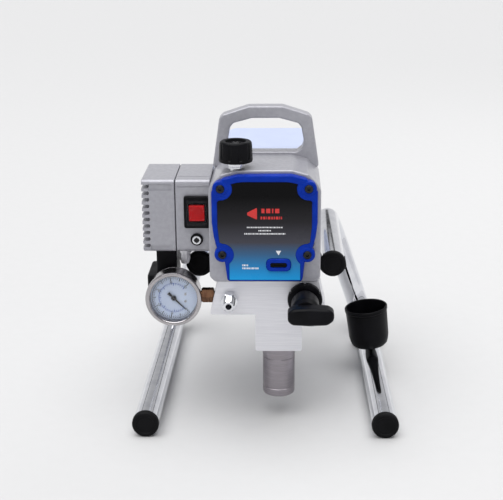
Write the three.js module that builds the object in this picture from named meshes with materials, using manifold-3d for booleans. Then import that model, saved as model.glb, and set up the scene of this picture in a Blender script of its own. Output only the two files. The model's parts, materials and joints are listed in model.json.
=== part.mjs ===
// An electric airless paint sprayer on a bent-tube stand, as an assembly of separate closed solids.
// Millimetres, +Z up, the operator stands at -Y. The origin is on the floor in the middle of the machine.
// In this file Y counts back from the front faces of the two foot plugs; the last lines centre the model.
import * as THREE from "three";
import { mergeVertices } from "three/addons/utils/BufferGeometryUtils.js";
import Module from "manifold-3d";

const wasm = await Module();
wasm.setup();

// ---------- driving dimensions ----------

const gap = 0.35; // between touching pieces
const runningGap = 0.5; // between pieces that slide or turn on each other

// Stand
const tubeRadius = 15;
const tubeWall = 1.8;
const tubeBend = 45; // centre-line radius
const plugRadius = tubeRadius + 0.8;
const plugLip = 8;
const plugGap = 0.8; // slack round a plug's spigot, for the runner's slope
const plugDepth = 22; // how far a plug reaches into its tube
const footSpan = 280; // between the runner axes
const runnerToeIn = 3; // each runner, over its length
const armSpan = 162; // between the upper arm axes
const uprightY = 348;
const armHeight = 177;
const armFrontY = 110;
const clampFrontY = armFrontY + plugLip + 2;
const clampBackY = clampFrontY + 36;
const clampBoltY = armFrontY + plugLip + 20;
const clampBoltRadius = 3;
const saddleWall = 2.2;
const earThickness = 11;
const lugRadius = 5;
const lugX = 60.2;

// Gear housing and handle
const housingFrontY = 37.5;
const housingBackY = 146;
const housingHalfWidth = 63.5;
const clampBoltX = housingHalfWidth - 7;
const housingBottom = 180;
const housingTop = 312;
const housingWall = 7;
const gearWallY = 106; // front face of the wall that carries the bearings
const cavityShoulderZ = 224; // the hollow narrows below this, behind the cover's foot
const cavityFootZ = 205;
const cavityFootHalf = 36.5;
const gearWall = 14;
const shoulderRadius = 15;
const handleTop = 369;
const handleFrontY = 118;
const handleBackY = 138;

// Front cover
const coverFrontY = 28.5;
const coverTop = 308.5;
const coverBottom = 183.6;
const coverHalfWidth = 59.7;
const coverWaist = 53; // half-width just above the lower bosses
const coverFoot = 42.5; // half-width at the bottom edge
const coverBossRadius = 9;
const coverWall = 4;
const upperScrew = [49.4, 292.8];
const lowerScrew = [48.2, 215.8];
const coverScrewRadius = 4.6;
const coverScrewHole = 3.2;
const coverScrewShank = 2.8;
const labelThickness = 0.8;
const labelMargin = 6.3;
const labelNotch = 13;
const oilPort = [15.7, 204];
const oilPortSize = [28, 15];

// Pump
const pumpX = 15.6;
const pumpY = 67;
const blockX = 3.5;
const blockFrontY = 40;
const blockBackY = 94;
const blockTop = housingBottom - gap;
const blockStep = 139;
const blockBottom = 93.3;
const blockHalfTop = 58.4;
const blockHalfStep = 67.8;
const blockHalfNeck = 27.2;
const stroke = 24;
const sleeveInner = 9.7;
const sleeveOuter = 12.2;
const sleeveTop = 150;
const sleeveBottom = 66;
const footValveRadius = 19.25;
const footValveBottom = 30;
const footValveSpigot = 15.3;
const footValveSpigotTop = 112;
const throatRadius = 9;
const inletSeatBottom = 42;
const inletSeatHeight = 6;
const inletSeatBore = 5.8;
const inletBallRadius = 7.5;
const packingHeight = 14;
const packingNutRadius = 17;
const rodTop = 226; // at the top of the stroke
const rodBottom = 95;
const wristPinRadius = 3.2;
const wristPinZ = 219;

// Drive
const crankZ = 240;
const crankPinRadius = 6;
const crankGearFrontY = 82;
const crankGearWidth = 11;
const crankShaftRadius = 8;
const crankHubRadius = 11;
const bigEndRadius = 14;
const conrodThickness = 8;
const motorZ = 258;
const firstModule = 1.25;
const secondModule = 1.5;
const motorTeeth = 12;
const largeTeeth = 36;
const smallTeeth = 13;
const crankTeeth = 36;
const toothSlack = 0.2; // share of a tooth's thickness left as backlash
const largeGearFrontY = 95;
const largeGearWidth = 8;
const bearingWidth = 10;
const crankBearingRadius = 14;
const motorCanRadius = 40;
const motorCanWall = 3;
const motorFrontY = gearWallY + gearWall + gap;
const motorBackY = 262;
const rotorRadius = 30;
const motorShaftRadius = 5;
const motorShaftHole = 7.5;
const ventCount = 5;
const ventCircle = 24;
const ventRadius = 6;
const shroudHalf = 58.5;
const shroudTop = 304.5;
const shroudBottom = 206;
const shroudCorner = 18;
const shroudWall = 3;
const shroudFrontY = 152;
const shroudBackY = 312;
const slotCount = 7;
const slotPitch = 10;
const slotHalf = 34;
const slotHeight = 4;

// Fittings on the pump block
const outletX = -41;
const portZ = 159;
const outletHexRadius = 10;
const outletTipY = 12;
const valveX = 46;
const valveBaseRadius = 20;
const valveSkirtRadius = 16;
const valveStemRadius = 7;
const leverFrontY = -23;
const leverBackY = -3;
const leverLong = 31.5;
const leverShort = 20;
const leverHeight = 21;
const returnX = 56;
const returnY = 62;
const returnBottom = 116;
const returnRadius = 3.4;

// Gauge
const gaugeX = -107.7;
const gaugeZ = 153.5;
const gaugeRadius = 33;
const gaugeFaceY = 49;
const gaugeDepth = 32;
const gaugeStemY = 67;
const bezelWidth = 4.6;
const bezelDepth = 8;
const gaugeStemRadius = 5;
const dialY = gaugeFaceY + 8;
const needleY = gaugeFaceY + 5.5;
const needleThickness = 1.2;
const lensThickness = 2;

// Pressure control
const knobX = -32.5;
const knobY = 50;
const knobRadius = 19.2;
const knobBottom = 319.5;
const knobTop = 343;
const knobFlutes = 10;
const regulatorRadius = 10;

// Control box
const boxSeamX = -105;
const boxLeftX = -144;
const boxRightX = -housingHalfWidth - gap;
const boxFrontY = 75;
const boxBackY = 160;
const boxBottom = 204;
const boxTop = 291.5;
const boxWall = 3;
const boxEdge = 5;
const finGrooveShare = 0.28;
const finCount = 11;
const finDepth = 9;
const bezelX = -79.6;
const bezelZ = 253.8;
const bezelWidthX = 30;
const bezelHeightZ = 38.4;
const rockerWidth = 18;
const rockerHeight = 20;
const fuseX = -80.3;
const fuseZ = 220.5;
const fuseRadius = 7.5;
const glandX = -97;
const glandY = 97;
const cleatLeftX = -142;
const cleatRightX = -106.5;
const cleatFrontY = 84;
const cleatBackY = 140;
const cleatBottom = 150;

// Drip cup
const cupRadius = 28;
const cupHeight = 54;
const cupWall = 2;
const cupTilt = 7; // degrees, round the runner
const cupClipLength = 18;
const cupArmReach = 36;
const cupArmHeight = 8;
const cupClipToBend = 16; // straight tube left between the clip and the rear bend
const cupY = uprightY - tubeBend - cupClipToBend - cupClipLength - cupArmReach - cupRadius;
const cupClipWall = 2.4;

// ---------- finishes ----------

const finishes = {
  casting: { color: 0xb9bac0, roughness: 0.45, metalness: 0.35 },
  blueCover: { color: 0x0f32b4, roughness: 0.18, metalness: 0.1 },
  panel: { color: 0x16171c, roughness: 0.3, metalness: 0.0 },
  blackPlastic: { color: 0x15151a, roughness: 0.45, metalness: 0.0 },
  rubber: { color: 0x121214, roughness: 0.8, metalness: 0.0 },
  chrome: { color: 0xe8e9ee, roughness: 0.06, metalness: 1.0 },
  aluminium: { color: 0xc5c4ca, roughness: 0.35, metalness: 0.9 },
  stainless: { color: 0x8c868d, roughness: 0.35, metalness: 0.95 },
  brass: { color: 0x8a6a34, roughness: 0.3, metalness: 1.0 },
  steel: { color: 0x9a9ca3, roughness: 0.3, metalness: 1.0 },
  gearSteel: { color: 0x6f7178, roughness: 0.3, metalness: 1.0 },
  dial: { color: 0xe4ebf4, roughness: 0.5, metalness: 0.0 },
  glass: { color: 0xf4f8fb, roughness: 0.03, metalness: 0.0, transparent: true, opacity: 0.2 },
  redPlastic: { color: 0xd4141c, roughness: 0.3, metalness: 0.0 },
  paleShroud: { color: 0xb4c2ea, roughness: 0.4, metalness: 0.0 },
  laminations: { color: 0x5a5350, roughness: 0.5, metalness: 0.8 },
  board: { color: 0x1c5a34, roughness: 0.5, metalness: 0.0 },
  packing: { color: 0xe9e2cf, roughness: 0.6, metalness: 0.0 },
};

// ---------- geometry helpers ----------

// A manifold solid from any closed geometry, with shared corners merged and faces pointing out.
function solidOf(geometry) {
  const bare = new THREE.BufferGeometry();
  bare.setAttribute("position", geometry.getAttribute("position"));
  bare.setIndex(geometry.index);
  const merged = mergeVertices(bare, 1e-4);
  const corners = merged.getAttribute("position").array;
  const index = merged.index.array;
  const kept = [];
  let volume = 0;
  const [a, b, c] = [new THREE.Vector3(), new THREE.Vector3(), new THREE.Vector3()];
  for (let i = 0; i < index.length; i += 3) {
    const [p, q, r] = [index[i], index[i + 1], index[i + 2]];
    if (p === q || q === r || r === p) continue;
    kept.push(p, q, r);
    a.fromArray(corners, 3 * p);
    b.fromArray(corners, 3 * q);
    c.fromArray(corners, 3 * r);
    volume += a.dot(b.cross(c));
  }
  if (volume < 0) kept.reverse();
  const triVerts = new Uint32Array(kept);
  return new wasm.Manifold(new wasm.Mesh({ numProp: 3, vertProperties: corners, triVerts }));
}

function geometryOf(solid) {
  const { vertProperties, triVerts } = solid.getMesh();
  const geometry = new THREE.BufferGeometry();
  geometry.setAttribute("position", new THREE.BufferAttribute(vertProperties, 3));
  geometry.setIndex(new THREE.BufferAttribute(triVerts, 1));
  return geometry;
}

const join = (first, ...others) =>
  geometryOf(others.reduce((whole, next) => whole.add(solidOf(next)), solidOf(first)));

const cut = (first, ...tools) =>
  geometryOf(tools.reduce((whole, tool) => whole.subtract(solidOf(tool)), solidOf(first)));

const common = (first, second) => geometryOf(solidOf(first).intersect(solidOf(second)));

const degrees = THREE.MathUtils.degToRad;

// A solid of revolution. The profile is a list of [radius, distance along the axis].
function turned(axis, profile, at = [0, 0, 0], sides = 20) {
  const points = profile.map(([radius, along]) => new THREE.Vector2(radius, along));
  const geometry = new THREE.LatheGeometry(points, sides);
  if (axis === "z") geometry.rotateX(Math.PI / 2);
  if (axis === "x") geometry.rotateZ(-Math.PI / 2);
  return geometry.translate(...at);
}

const rod = (axis, radius, from, to, at, sides) =>
  turned(axis, [[0, from], [radius, from], [radius, to], [0, to]], at, sides);

// A rod whose two ends are chamfered.
const softRod = (axis, radius, from, to, chamfer, at, sides) =>
  turned(
    axis,
    [
      [0, from],
      [radius - chamfer, from],
      [radius, from + chamfer],
      [radius, to - chamfer],
      [radius - chamfer, to],
      [0, to],
    ],
    at,
    sides,
  );

const ring = (axis, outer, inner, from, to, at, sides) =>
  turned(axis, [[inner, from], [outer, from], [outer, to], [inner, to], [inner, from]], at, sides);

function box(x0, x1, y0, y1, z0, z1) {
  const geometry = new THREE.BoxGeometry(x1 - x0, y1 - y0, z1 - z0);
  return geometry.translate((x0 + x1) / 2, (y0 + y1) / 2, (z0 + z1) / 2);
}

// An outline drawn as seen from the front (x right, z up), made solid from yFront back to yBack.
function frontPrism(shape, yFront, yBack, edge = 0, curveSegments = 2) {
  const geometry = new THREE.ExtrudeGeometry(shape, {
    depth: yBack - yFront - 2 * edge,
    bevelEnabled: edge > 0,
    bevelThickness: edge,
    bevelSize: edge,
    bevelOffset: -edge,
    bevelSegments: 1,
    curveSegments,
  });
  return geometry.rotateX(Math.PI / 2).translate(0, yBack - edge, 0);
}

// An outline drawn from above (x right, y back), made solid from zBottom up to zTop.
function topPrism(shape, zBottom, zTop, edge = 0, curveSegments = 2) {
  const geometry = new THREE.ExtrudeGeometry(shape, {
    depth: zTop - zBottom - 2 * edge,
    bevelEnabled: edge > 0,
    bevelThickness: edge,
    bevelSize: edge,
    bevelOffset: -edge,
    bevelSegments: 1,
    curveSegments,
  });
  return geometry.translate(0, 0, zBottom + edge);
}

function roundedRect(x0, x1, y0, y1, radius) {
  const shape = new THREE.Shape();
  shape.moveTo(x0 + radius, y0);
  shape.lineTo(x1 - radius, y0);
  shape.absarc(x1 - radius, y0 + radius, radius, -Math.PI / 2, 0);
  shape.lineTo(x1, y1 - radius);
  shape.absarc(x1 - radius, y1 - radius, radius, 0, Math.PI / 2);
  shape.lineTo(x0 + radius, y1);
  shape.absarc(x0 + radius, y1 - radius, radius, Math.PI / 2, Math.PI);
  shape.lineTo(x0, y0 + radius);
  shape.absarc(x0 + radius, y0 + radius, radius, Math.PI, 1.5 * Math.PI);
  return shape;
}

function polygon(points) {
  return new THREE.Shape(points.map(([x, y]) => new THREE.Vector2(x, y)));
}

// The right half of a front outline, mirrored about x = 0.
const mirrored = (half) => polygon([...half, ...half.map(([x, z]) => [-x, z]).reverse()]);

const hexagon = (radius, x, z) =>
  polygon(
    Array.from({ length: 6 }, (_, i) => [
      x + radius * Math.cos((i * Math.PI) / 3),
      z + radius * Math.sin((i * Math.PI) / 3),
    ]),
  );

// ---------- stand ----------

// The centre line of one leg: straight stretches joined by arcs, with few stations on the straights.
class LegPath extends THREE.Curve {
  constructor(corners, bend, arcSteps) {
    super();
    this.stations = [corners[0]];
    for (let i = 1; i < corners.length - 1; i++)
      this.stations.push(...LegPath.arc(corners[i - 1], corners[i], corners[i + 1], bend, arcSteps));
    this.stations.push(corners.at(-1));
  }

  static arc(before, corner, after, bend, steps) {
    const back = before.clone().sub(corner).normalize();
    const ahead = after.clone().sub(corner).normalize();
    const half = back.angleTo(ahead) / 2;
    const centre = back.clone().add(ahead).normalize();
    centre.multiplyScalar(bend / Math.sin(half)).add(corner);
    const start = back.clone().multiplyScalar(bend / Math.tan(half)).add(corner).sub(centre);
    const axis = ahead.clone().cross(back).normalize();
    const sweep = Math.PI - 2 * half;
    return Array.from({ length: steps + 1 }, (_, i) =>
      start.clone().applyAxisAngle(axis, (sweep * i) / steps).add(centre),
    );
  }

  // Each step of the parameter is one station, so the spacing is not by length.
  getUtoTmapping(u) {
    return u;
  }

  getPoint(t, target = new THREE.Vector3()) {
    const along = t * (this.stations.length - 1);
    const i = Math.min(Math.floor(along), this.stations.length - 2);
    return target.lerpVectors(this.stations[i], this.stations[i + 1], along - i);
  }

  getTangent(t, target = new THREE.Vector3()) {
    const last = this.stations.length - 1;
    const i = Math.round(t * last);
    const [a, b] = [this.stations[Math.max(i - 1, 0)], this.stations[Math.min(i + 1, last)]];
    if (i === 0 || i === last) return target.subVectors(b, a).normalize();
    const before = this.stations[i].clone().sub(a).normalize();
    return target.subVectors(b, this.stations[i]).normalize().add(before).normalize();
  }
}

const runnerRearX = footSpan / 2 - runnerToeIn;

function legTube(side) {
  const corners = [
    new THREE.Vector3((side * footSpan) / 2, plugLip + gap, plugRadius),
    new THREE.Vector3(side * runnerRearX, uprightY, tubeRadius),
    new THREE.Vector3((side * armSpan) / 2, uprightY, armHeight),
    new THREE.Vector3((side * armSpan) / 2, armFrontY + plugLip + gap, armHeight),
  ];
  const path = new LegPath(corners, tubeBend, 4);
  const section = new THREE.Shape().absarc(0, 0, tubeRadius, 0, 2 * Math.PI);
  section.holes.push(new THREE.Path().absarc(0, 0, tubeRadius - tubeWall, 0, 2 * Math.PI));
  return new THREE.ExtrudeGeometry(section, {
    steps: path.stations.length - 1,
    extrudePath: path,
    curveSegments: 7,
  });
}

// A tube plug: a domed lip outside and a plain spigot inside the tube.
function tubePlug(x, yFront, z) {
  const spigot = tubeRadius - tubeWall - plugGap;
  const profile = [
    [0, yFront],
    [plugRadius - 2.5, yFront],
    [plugRadius, yFront + 2.5],
    [plugRadius, yFront + plugLip],
    [spigot, yFront + plugLip],
    [spigot, yFront + plugLip + plugDepth],
    [0, yFront + plugLip + plugDepth],
  ];
  return turned("y", profile, [x, 0, z], 20);
}

// A saddle under the front of an arm, with an ear that bolts up under the housing and a round lug in front.
function armClamp(side) {
  const x = (side * armSpan) / 2;
  const bore = tubeRadius + gap;
  const outer = bore + saddleWall;
  const earTop = housingBottom - gap;
  const earBottom = earTop - earThickness;
  const earInner = side * (housingHalfWidth - 14);
  const ear = box(Math.min(x, earInner), Math.max(x, earInner), clampFrontY, clampBackY, earBottom, earTop);
  const collar = rod("y", outer, clampFrontY, clampBackY, [x, 0, armHeight], 20);
  const span = outer + 1;
  const underTop = armHeight - 4;
  const under = box(x - span, x + span, clampFrontY, clampBackY, armHeight - span, underTop);
  const lugAt = [side * lugX, 0, earTop - lugRadius - 0.2];
  const lug = rod("y", lugRadius, clampFrontY - 1.6, clampFrontY + 4, lugAt, 14);
  const boltAt = [side * clampBoltX, clampBoltY, 0];
  const boltHole = rod("z", clampBoltRadius, earBottom - 1, earTop + 1, boltAt, 10);
  const tubeHole = rod("y", bore, clampFrontY - 3, clampBackY + 1, [x, 0, armHeight], 20);
  return cut(join(common(collar, under), ear, lug), tubeHole, boltHole);
}

// ---------- gear housing ----------

const housingHalfOutline = () => [
  [31, housingTop],
  [49, housingTop - 5],
  [housingHalfWidth - 5, housingTop - shoulderRadius],
  [housingHalfWidth, housingTop - shoulderRadius - 9],
  [housingHalfWidth, housingBottom + 6],
  [housingHalfWidth - 6, housingBottom],
];

const handleHalfOutline = () => [
  [20, handleTop],
  [50, handleTop - 9.7],
  [54.5, handleTop - 14],
  [housingHalfWidth, housingTop - shoulderRadius - 2],
];

const windowHalfOutline = () => [
  [16, handleTop - 14],
  [38, handleTop - 20],
  [42, handleTop - 25],
  [45, housingTop + 15],
  [43, housingTop + 8],
  [37, housingTop + 3],
];

function gearCentres() {
  const motor = new THREE.Vector2(0, motorZ);
  const crank = new THREE.Vector2(pumpX, crankZ);
  const first = (firstModule * (motorTeeth + largeTeeth)) / 2;
  const second = (secondModule * (smallTeeth + crankTeeth)) / 2;
  const between = crank.clone().sub(motor);
  const distance = between.length();
  const along = (first ** 2 - second ** 2 + distance ** 2) / (2 * distance);
  const across = Math.sqrt(first ** 2 - along ** 2);
  const unit = between.normalize();
  const left = new THREE.Vector2(unit.y, -unit.x);
  const middle = motor.clone().addScaledVector(unit, along).addScaledVector(left, across);
  return { motor, crank, middle };
}

const centres = gearCentres();

function mainHousing() {
  const body = frontPrism(mirrored(housingHalfOutline()), housingFrontY, housingBackY, 1.5);
  const handle = frontPrism(mirrored(handleHalfOutline()), handleFrontY, handleBackY, 3);
  const window = frontPrism(mirrored(windowHalfOutline()), handleFrontY - 1, handleBackY + 1);
  const inner = housingHalfWidth - housingWall;
  const cavityTop = housingTop - 18;
  const cavityHalfOutline = [
    [inner - 6, cavityTop],
    [inner, cavityTop - 6],
    [inner, cavityShoulderZ],
    [cavityFootHalf, cavityFootZ],
    [cavityFootHalf, housingBottom + housingWall],
  ];
  const cavity = frontPrism(mirrored(cavityHalfOutline), housingFrontY - 1, gearWallY);
  const motorPocketY = gearWallY + gearWall;
  const motorPocket = rod("y", motorCanRadius + 1, motorPocketY, housingBackY + 1, [0, 0, motorZ], 24);
  const motorAxis = [centres.motor.x, 0, centres.motor.y];
  const shaftHole = rod("y", motorShaftHole, gearWallY - 1, motorPocketY + 1, motorAxis, 20);
  const crankPocket = rod(
    "y",
    crankBearingRadius + gap,
    gearWallY - 1,
    gearWallY + bearingWidth + gap,
    [centres.crank.x, 0, centres.crank.y],
  );
  const middleAxis = [centres.middle.x, 0, centres.middle.y];
  const studHole = rod("y", 4 + gap, gearWallY - 1, gearWallY + 9, middleAxis, 16);
  const floorTop = housingBottom + housingWall;
  const rodHole = rod("z", packingNutRadius + 2, housingBottom - 1, floorTop + 1, [pumpX, pumpY, 0], 28);
  const regulatorHole = rod("z", 7 + gap, cavityTop - 1, housingTop + 1, [knobX, knobY, 0], 16);
  const screwHoles = coverScrewPlaces().map(([x, z]) =>
    rod("y", coverScrewHole, housingFrontY - 1, housingFrontY + 12, [x, 0, z], 8),
  );
  const clampHoles = [-1, 1].map((side) =>
    rod("z", clampBoltRadius, housingBottom - 1, housingBottom + 6, [side * clampBoltX, clampBoltY, 0], 10),
  );
  const bosses = coverScrewPlaces().map(([x, z]) =>
    rod("y", coverBossRadius, housingFrontY + 1, gearWallY + 1, [x, 0, z], 12),
  );
  const shell = cut(join(body, cut(handle, window)), cavity);
  return cut(
    join(shell, ...bosses),
    motorPocket,
    shaftHole,
    crankPocket,
    studHole,
    rodHole,
    regulatorHole,
    ...screwHoles,
    ...clampHoles,
  );
}

// ---------- front cover ----------

const coverScrewPlaces = () => [
  [-upperScrew[0], upperScrew[1]],
  [upperScrew[0], upperScrew[1]],
  [-lowerScrew[0], lowerScrew[1]],
  [lowerScrew[0], lowerScrew[1]],
];

const coverHalfOutline = () => [
  [30, coverTop],
  [46, coverTop - 4.2],
  [coverHalfWidth - 4, coverTop - 12],
  [coverHalfWidth, coverTop - 20],
  [coverHalfWidth, coverTop - 55],
  [coverHalfWidth - 2, coverTop - 72],
  [coverWaist, lowerScrew[1] + 3],
  [coverWaist - 7.5, lowerScrew[1] - coverBossRadius],
  [coverFoot + 0.5, coverBottom + 2],
  [coverFoot - 1.5, coverBottom],
];

function frontCover() {
  const back = housingFrontY - gap;
  const plate = frontPrism(mirrored(coverHalfOutline()), coverFrontY, back, 1.6);
  const bosses = coverScrewPlaces().map(([x, z]) =>
    rod("y", coverBossRadius, coverFrontY, back, [x, 0, z], 16),
  );
  const port = frontPrism(oilPortOutline(0), coverFrontY - 2, coverFrontY + 3, 0.8);
  const hollow = frontPrism(
    mirrored(coverHalfOutline().map(([x, z]) => [x - 9, z > oilPort[1] ? z - 9 : z + 9])),
    coverFrontY + coverWall,
    back + 1,
  );
  const screwHoles = coverScrewPlaces().flatMap(([x, z]) => [
    rod("y", coverScrewHole, coverFrontY - 1, back + 1, [x, 0, z], 8),
    rod("y", coverScrewRadius + gap, coverFrontY - 1, coverFrontY + 3, [x, 0, z], 12),
  ]);
  const recess = frontPrism(labelOutline(0), coverFrontY - 1, coverFrontY + labelThickness + gap);
  const portHole = frontPrism(oilPortOutline(4.5), coverFrontY - 3, back + 1);
  const shell = cut(join(plate, ...bosses), hollow, recess);
  return cut(join(shell, port, ...bosses), portHole, ...screwHoles);
}

// The printed panel: the cover's outline drawn in, with a bite round each screw boss.
function labelOutline(shrink) {
  const notch = labelNotch + shrink;
  const half = coverHalfWidth - labelMargin - shrink;
  const top = coverTop - 10 - shrink;
  const bottom = coverBottom + 2 + shrink;
  const foot = coverFoot - 2 - shrink;
  const [upX, upZ] = upperScrew;
  const [lowX, lowZ] = lowerScrew;
  const shape = new THREE.Shape();
  shape.moveTo(-foot, bottom);
  shape.lineTo(foot, bottom);
  shape.lineTo(foot, lowZ - Math.sqrt(notch ** 2 - (lowX - foot) ** 2));
  shape.absarc(lowX, lowZ, notch, Math.PI + Math.acos((lowX - foot) / notch), Math.PI / 2, true);
  shape.lineTo(half - 4, lowZ + notch);
  shape.lineTo(half, coverTop - 60);
  shape.lineTo(half, upZ - notch);
  shape.lineTo(upX, upZ - notch);
  shape.absarc(upX, upZ, notch, -Math.PI / 2, -Math.PI - Math.asin((top - upZ) / notch), true);
  shape.lineTo(-upX + Math.sqrt(notch ** 2 - (top - upZ) ** 2), top);
  shape.absarc(-upX, upZ, notch, Math.asin((top - upZ) / notch), -Math.PI / 2, true);
  shape.lineTo(-half, upZ - notch);
  shape.lineTo(-half, coverTop - 60);
  shape.lineTo(-half + 4, lowZ + notch);
  shape.lineTo(-lowX, lowZ + notch);
  shape.absarc(-lowX, lowZ, notch, Math.PI / 2, -Math.acos((lowX - foot) / notch), true);
  return shape;
}

const frontLabel = () =>
  frontPrism(labelOutlineWithPort(), coverFrontY + 0.05, coverFrontY + 0.05 + labelThickness);

function labelOutlineWithPort() {
  const shape = labelOutline(gap);
  shape.holes.push(oilPortOutline(-gap));
  return shape;
}

const coverScrew = (x, z) =>
  turned(
    "y",
    [
      [0, coverFrontY - 2],
      [coverScrewRadius - 1, coverFrontY - 2],
      [coverScrewRadius, coverFrontY - 1],
      [coverScrewRadius, coverFrontY + 3 - gap],
      [coverScrewShank, coverFrontY + 3 - gap],
      [coverScrewShank, housingFrontY + 10],
      [0, housingFrontY + 10],
    ],
    [x, 0, z],
    12,
  );

// A rounded slot lying across the foot of the cover, drawn in by the given amount.
function oilPortOutline(inset) {
  const [x, z] = oilPort;
  const [width, height] = [oilPortSize[0] / 2 - inset, oilPortSize[1] / 2 - inset];
  return roundedRect(x - width, x + width, z - height, z + height, Math.min(height - 0.1, 6));
}

const oilPlug = () => frontPrism(oilPortOutline(4.5 + gap), coverFrontY - 0.6, coverFrontY + 8, 0.5);

// ---------- pump ----------

function pumpBlock() {
  const upper = polygon([
    [blockX - blockHalfStep, blockStep],
    [blockX + blockHalfStep, blockStep],
    [blockX + blockHalfTop, blockTop],
    [blockX - blockHalfTop, blockTop],
  ]);
  const shoulders = frontPrism(upper, blockFrontY, blockBackY, 1.5);
  const neck = frontPrism(
    roundedRect(pumpX - blockHalfNeck, pumpX + blockHalfNeck, blockBottom, blockStep + 20, 3),
    blockFrontY,
    blockBackY,
    1.5,
    1,
  );
  const at = [pumpX, pumpY, 0];
  const sleeveBore = rod("z", sleeveOuter + gap, blockBottom - 1, sleeveTop + gap, at);
  const spigotBore = rod("z", footValveSpigot + gap, blockBottom - 1, footValveSpigotTop + gap, at);
  const packingBore = rod("z", sleeveOuter + 2.8 + gap, sleeveTop, blockTop + 1, at);
  const rodBore = rod("z", sleeveInner + 0.2, sleeveTop - 1, blockTop + 1, at);
  const outletBore = rod("y", 7 + gap, blockFrontY - 1, blockFrontY + 14, [outletX, 0, portZ], 16);
  const valveRadius = valveStemRadius + runningGap;
  const valveBore = rod("y", valveRadius, blockFrontY - 1, blockFrontY + 16, [valveX, 0, portZ], 16);
  const gaugeFrom = blockX - blockHalfStep - 5;
  const gaugeTo = blockX - blockHalfTop + 16;
  const gaugeBore = rod("x", gaugeStemRadius + gap, gaugeFrom, gaugeTo, [0, gaugeStemY, gaugeZ], 16);
  const returnBore = rod("z", 3 + gap, blockStep - 1, blockStep + 8, [returnX, returnY, 0], 12);
  const whole = cut(join(shoulders, neck), sleeveBore, spigotBore, packingBore, rodBore);
  return cut(whole, outletBore, valveBore, gaugeBore, returnBore);
}

function footValve() {
  const pocket = sleeveOuter + gap;
  const profile = [
    [throatRadius, footValveBottom],
    [footValveRadius - 2, footValveBottom],
    [footValveRadius, footValveBottom + 2],
    [footValveRadius, blockBottom - gap],
    [footValveSpigot, blockBottom - gap],
    [footValveSpigot, footValveSpigotTop],
    [pocket, footValveSpigotTop],
    [pocket, inletSeatBottom],
    [throatRadius, inletSeatBottom],
    [throatRadius, footValveBottom],
  ];
  return turned("z", profile, [pumpX, pumpY, 0]);
}

const inletSeatTop = inletSeatBottom + gap + inletSeatHeight;

const inletSeat = () =>
  ring("z", sleeveOuter, inletSeatBore, inletSeatBottom + gap, inletSeatTop, [pumpX, pumpY, 0]);

// Where a ball rests on the rim of a seat, lifted by the touching gap.
const ballHeight = (ballRadius, seatBore) => Math.sqrt(ballRadius ** 2 - seatBore ** 2) + 0.2;

function inletBall() {
  const z = inletSeatTop + ballHeight(inletBallRadius, inletSeatBore);
  return new THREE.SphereGeometry(inletBallRadius, 12, 8).translate(pumpX, pumpY, z);
}

// The sleeve, whose narrow lower end keeps the inlet ball in its place.
function cylinderSleeve() {
  const profile = [
    [inletBallRadius - 1.5, sleeveBottom],
    [sleeveOuter, sleeveBottom],
    [sleeveOuter, sleeveTop],
    [sleeveInner, sleeveTop],
    [sleeveInner, sleeveBottom + 3],
    [inletBallRadius - 1.5, sleeveBottom + 3],
    [inletBallRadius - 1.5, sleeveBottom],
  ];
  return turned("z", profile, [pumpX, pumpY, 0]);
}

const pistonRadius = sleeveInner - runningGap;
const pistonBore = 6.2;
const outletBallRadius = 4.6;
const outletSeatBore = 3.4;
const outletSeatHeight = 4;
const chamberHeight = 20;

function pistonRod() {
  const at = [pumpX, pumpY, 0];
  const solid = softRod("z", pistonRadius, rodBottom, rodTop, 1, at);
  const chamber = rod("z", pistonBore, rodBottom - 1, rodBottom + chamberHeight, at, 16);
  const portZ0 = rodBottom + chamberHeight - 4;
  const ports = rod("x", 2.5, pumpX - pistonRadius - 1, pumpX + pistonRadius + 1, [0, pumpY, portZ0], 12);
  const pinHole = rod(
    "y",
    wristPinRadius + gap,
    pumpY - pistonRadius - 1,
    pumpY + pistonRadius + 1,
    [pumpX, 0, wristPinZ],
    16,
  );
  return cut(solid, chamber, ports, pinHole);
}

const pistonSeat = () =>
  ring(
    "z",
    pistonBore - gap,
    outletSeatBore,
    rodBottom + 0.5,
    rodBottom + 0.5 + outletSeatHeight,
    [pumpX, pumpY, 0],
    16,
  );

function outletBall() {
  const z = rodBottom + 0.5 + outletSeatHeight + ballHeight(outletBallRadius, outletSeatBore);
  return new THREE.SphereGeometry(outletBallRadius, 10, 6).translate(pumpX, pumpY, z);
}

const packingBottom = sleeveTop + gap;

const rodPacking = () =>
  ring(
    "z",
    sleeveOuter + 2.8,
    pistonRadius + 0.3,
    packingBottom,
    packingBottom + packingHeight,
    [pumpX, pumpY, 0],
  );

function packingNut() {
  const flangeBottom = blockTop + gap;
  const profile = [
    [pistonRadius + runningGap, packingBottom + packingHeight + gap],
    [sleeveOuter + 2.8, packingBottom + packingHeight + gap],
    [sleeveOuter + 2.8, flangeBottom],
    [packingNutRadius, flangeBottom],
    [packingNutRadius, flangeBottom + 6],
    [pistonRadius + runningGap, flangeBottom + 6],
    [pistonRadius + runningGap, packingBottom + packingHeight + gap],
  ];
  return turned("z", profile, [pumpX, pumpY, 0]);
}

const wristPin = () =>
  rod("y", wristPinRadius, pumpY - pistonRadius - 5, pumpY + pistonRadius + 5, [pumpX, 0, wristPinZ], 16);

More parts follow.
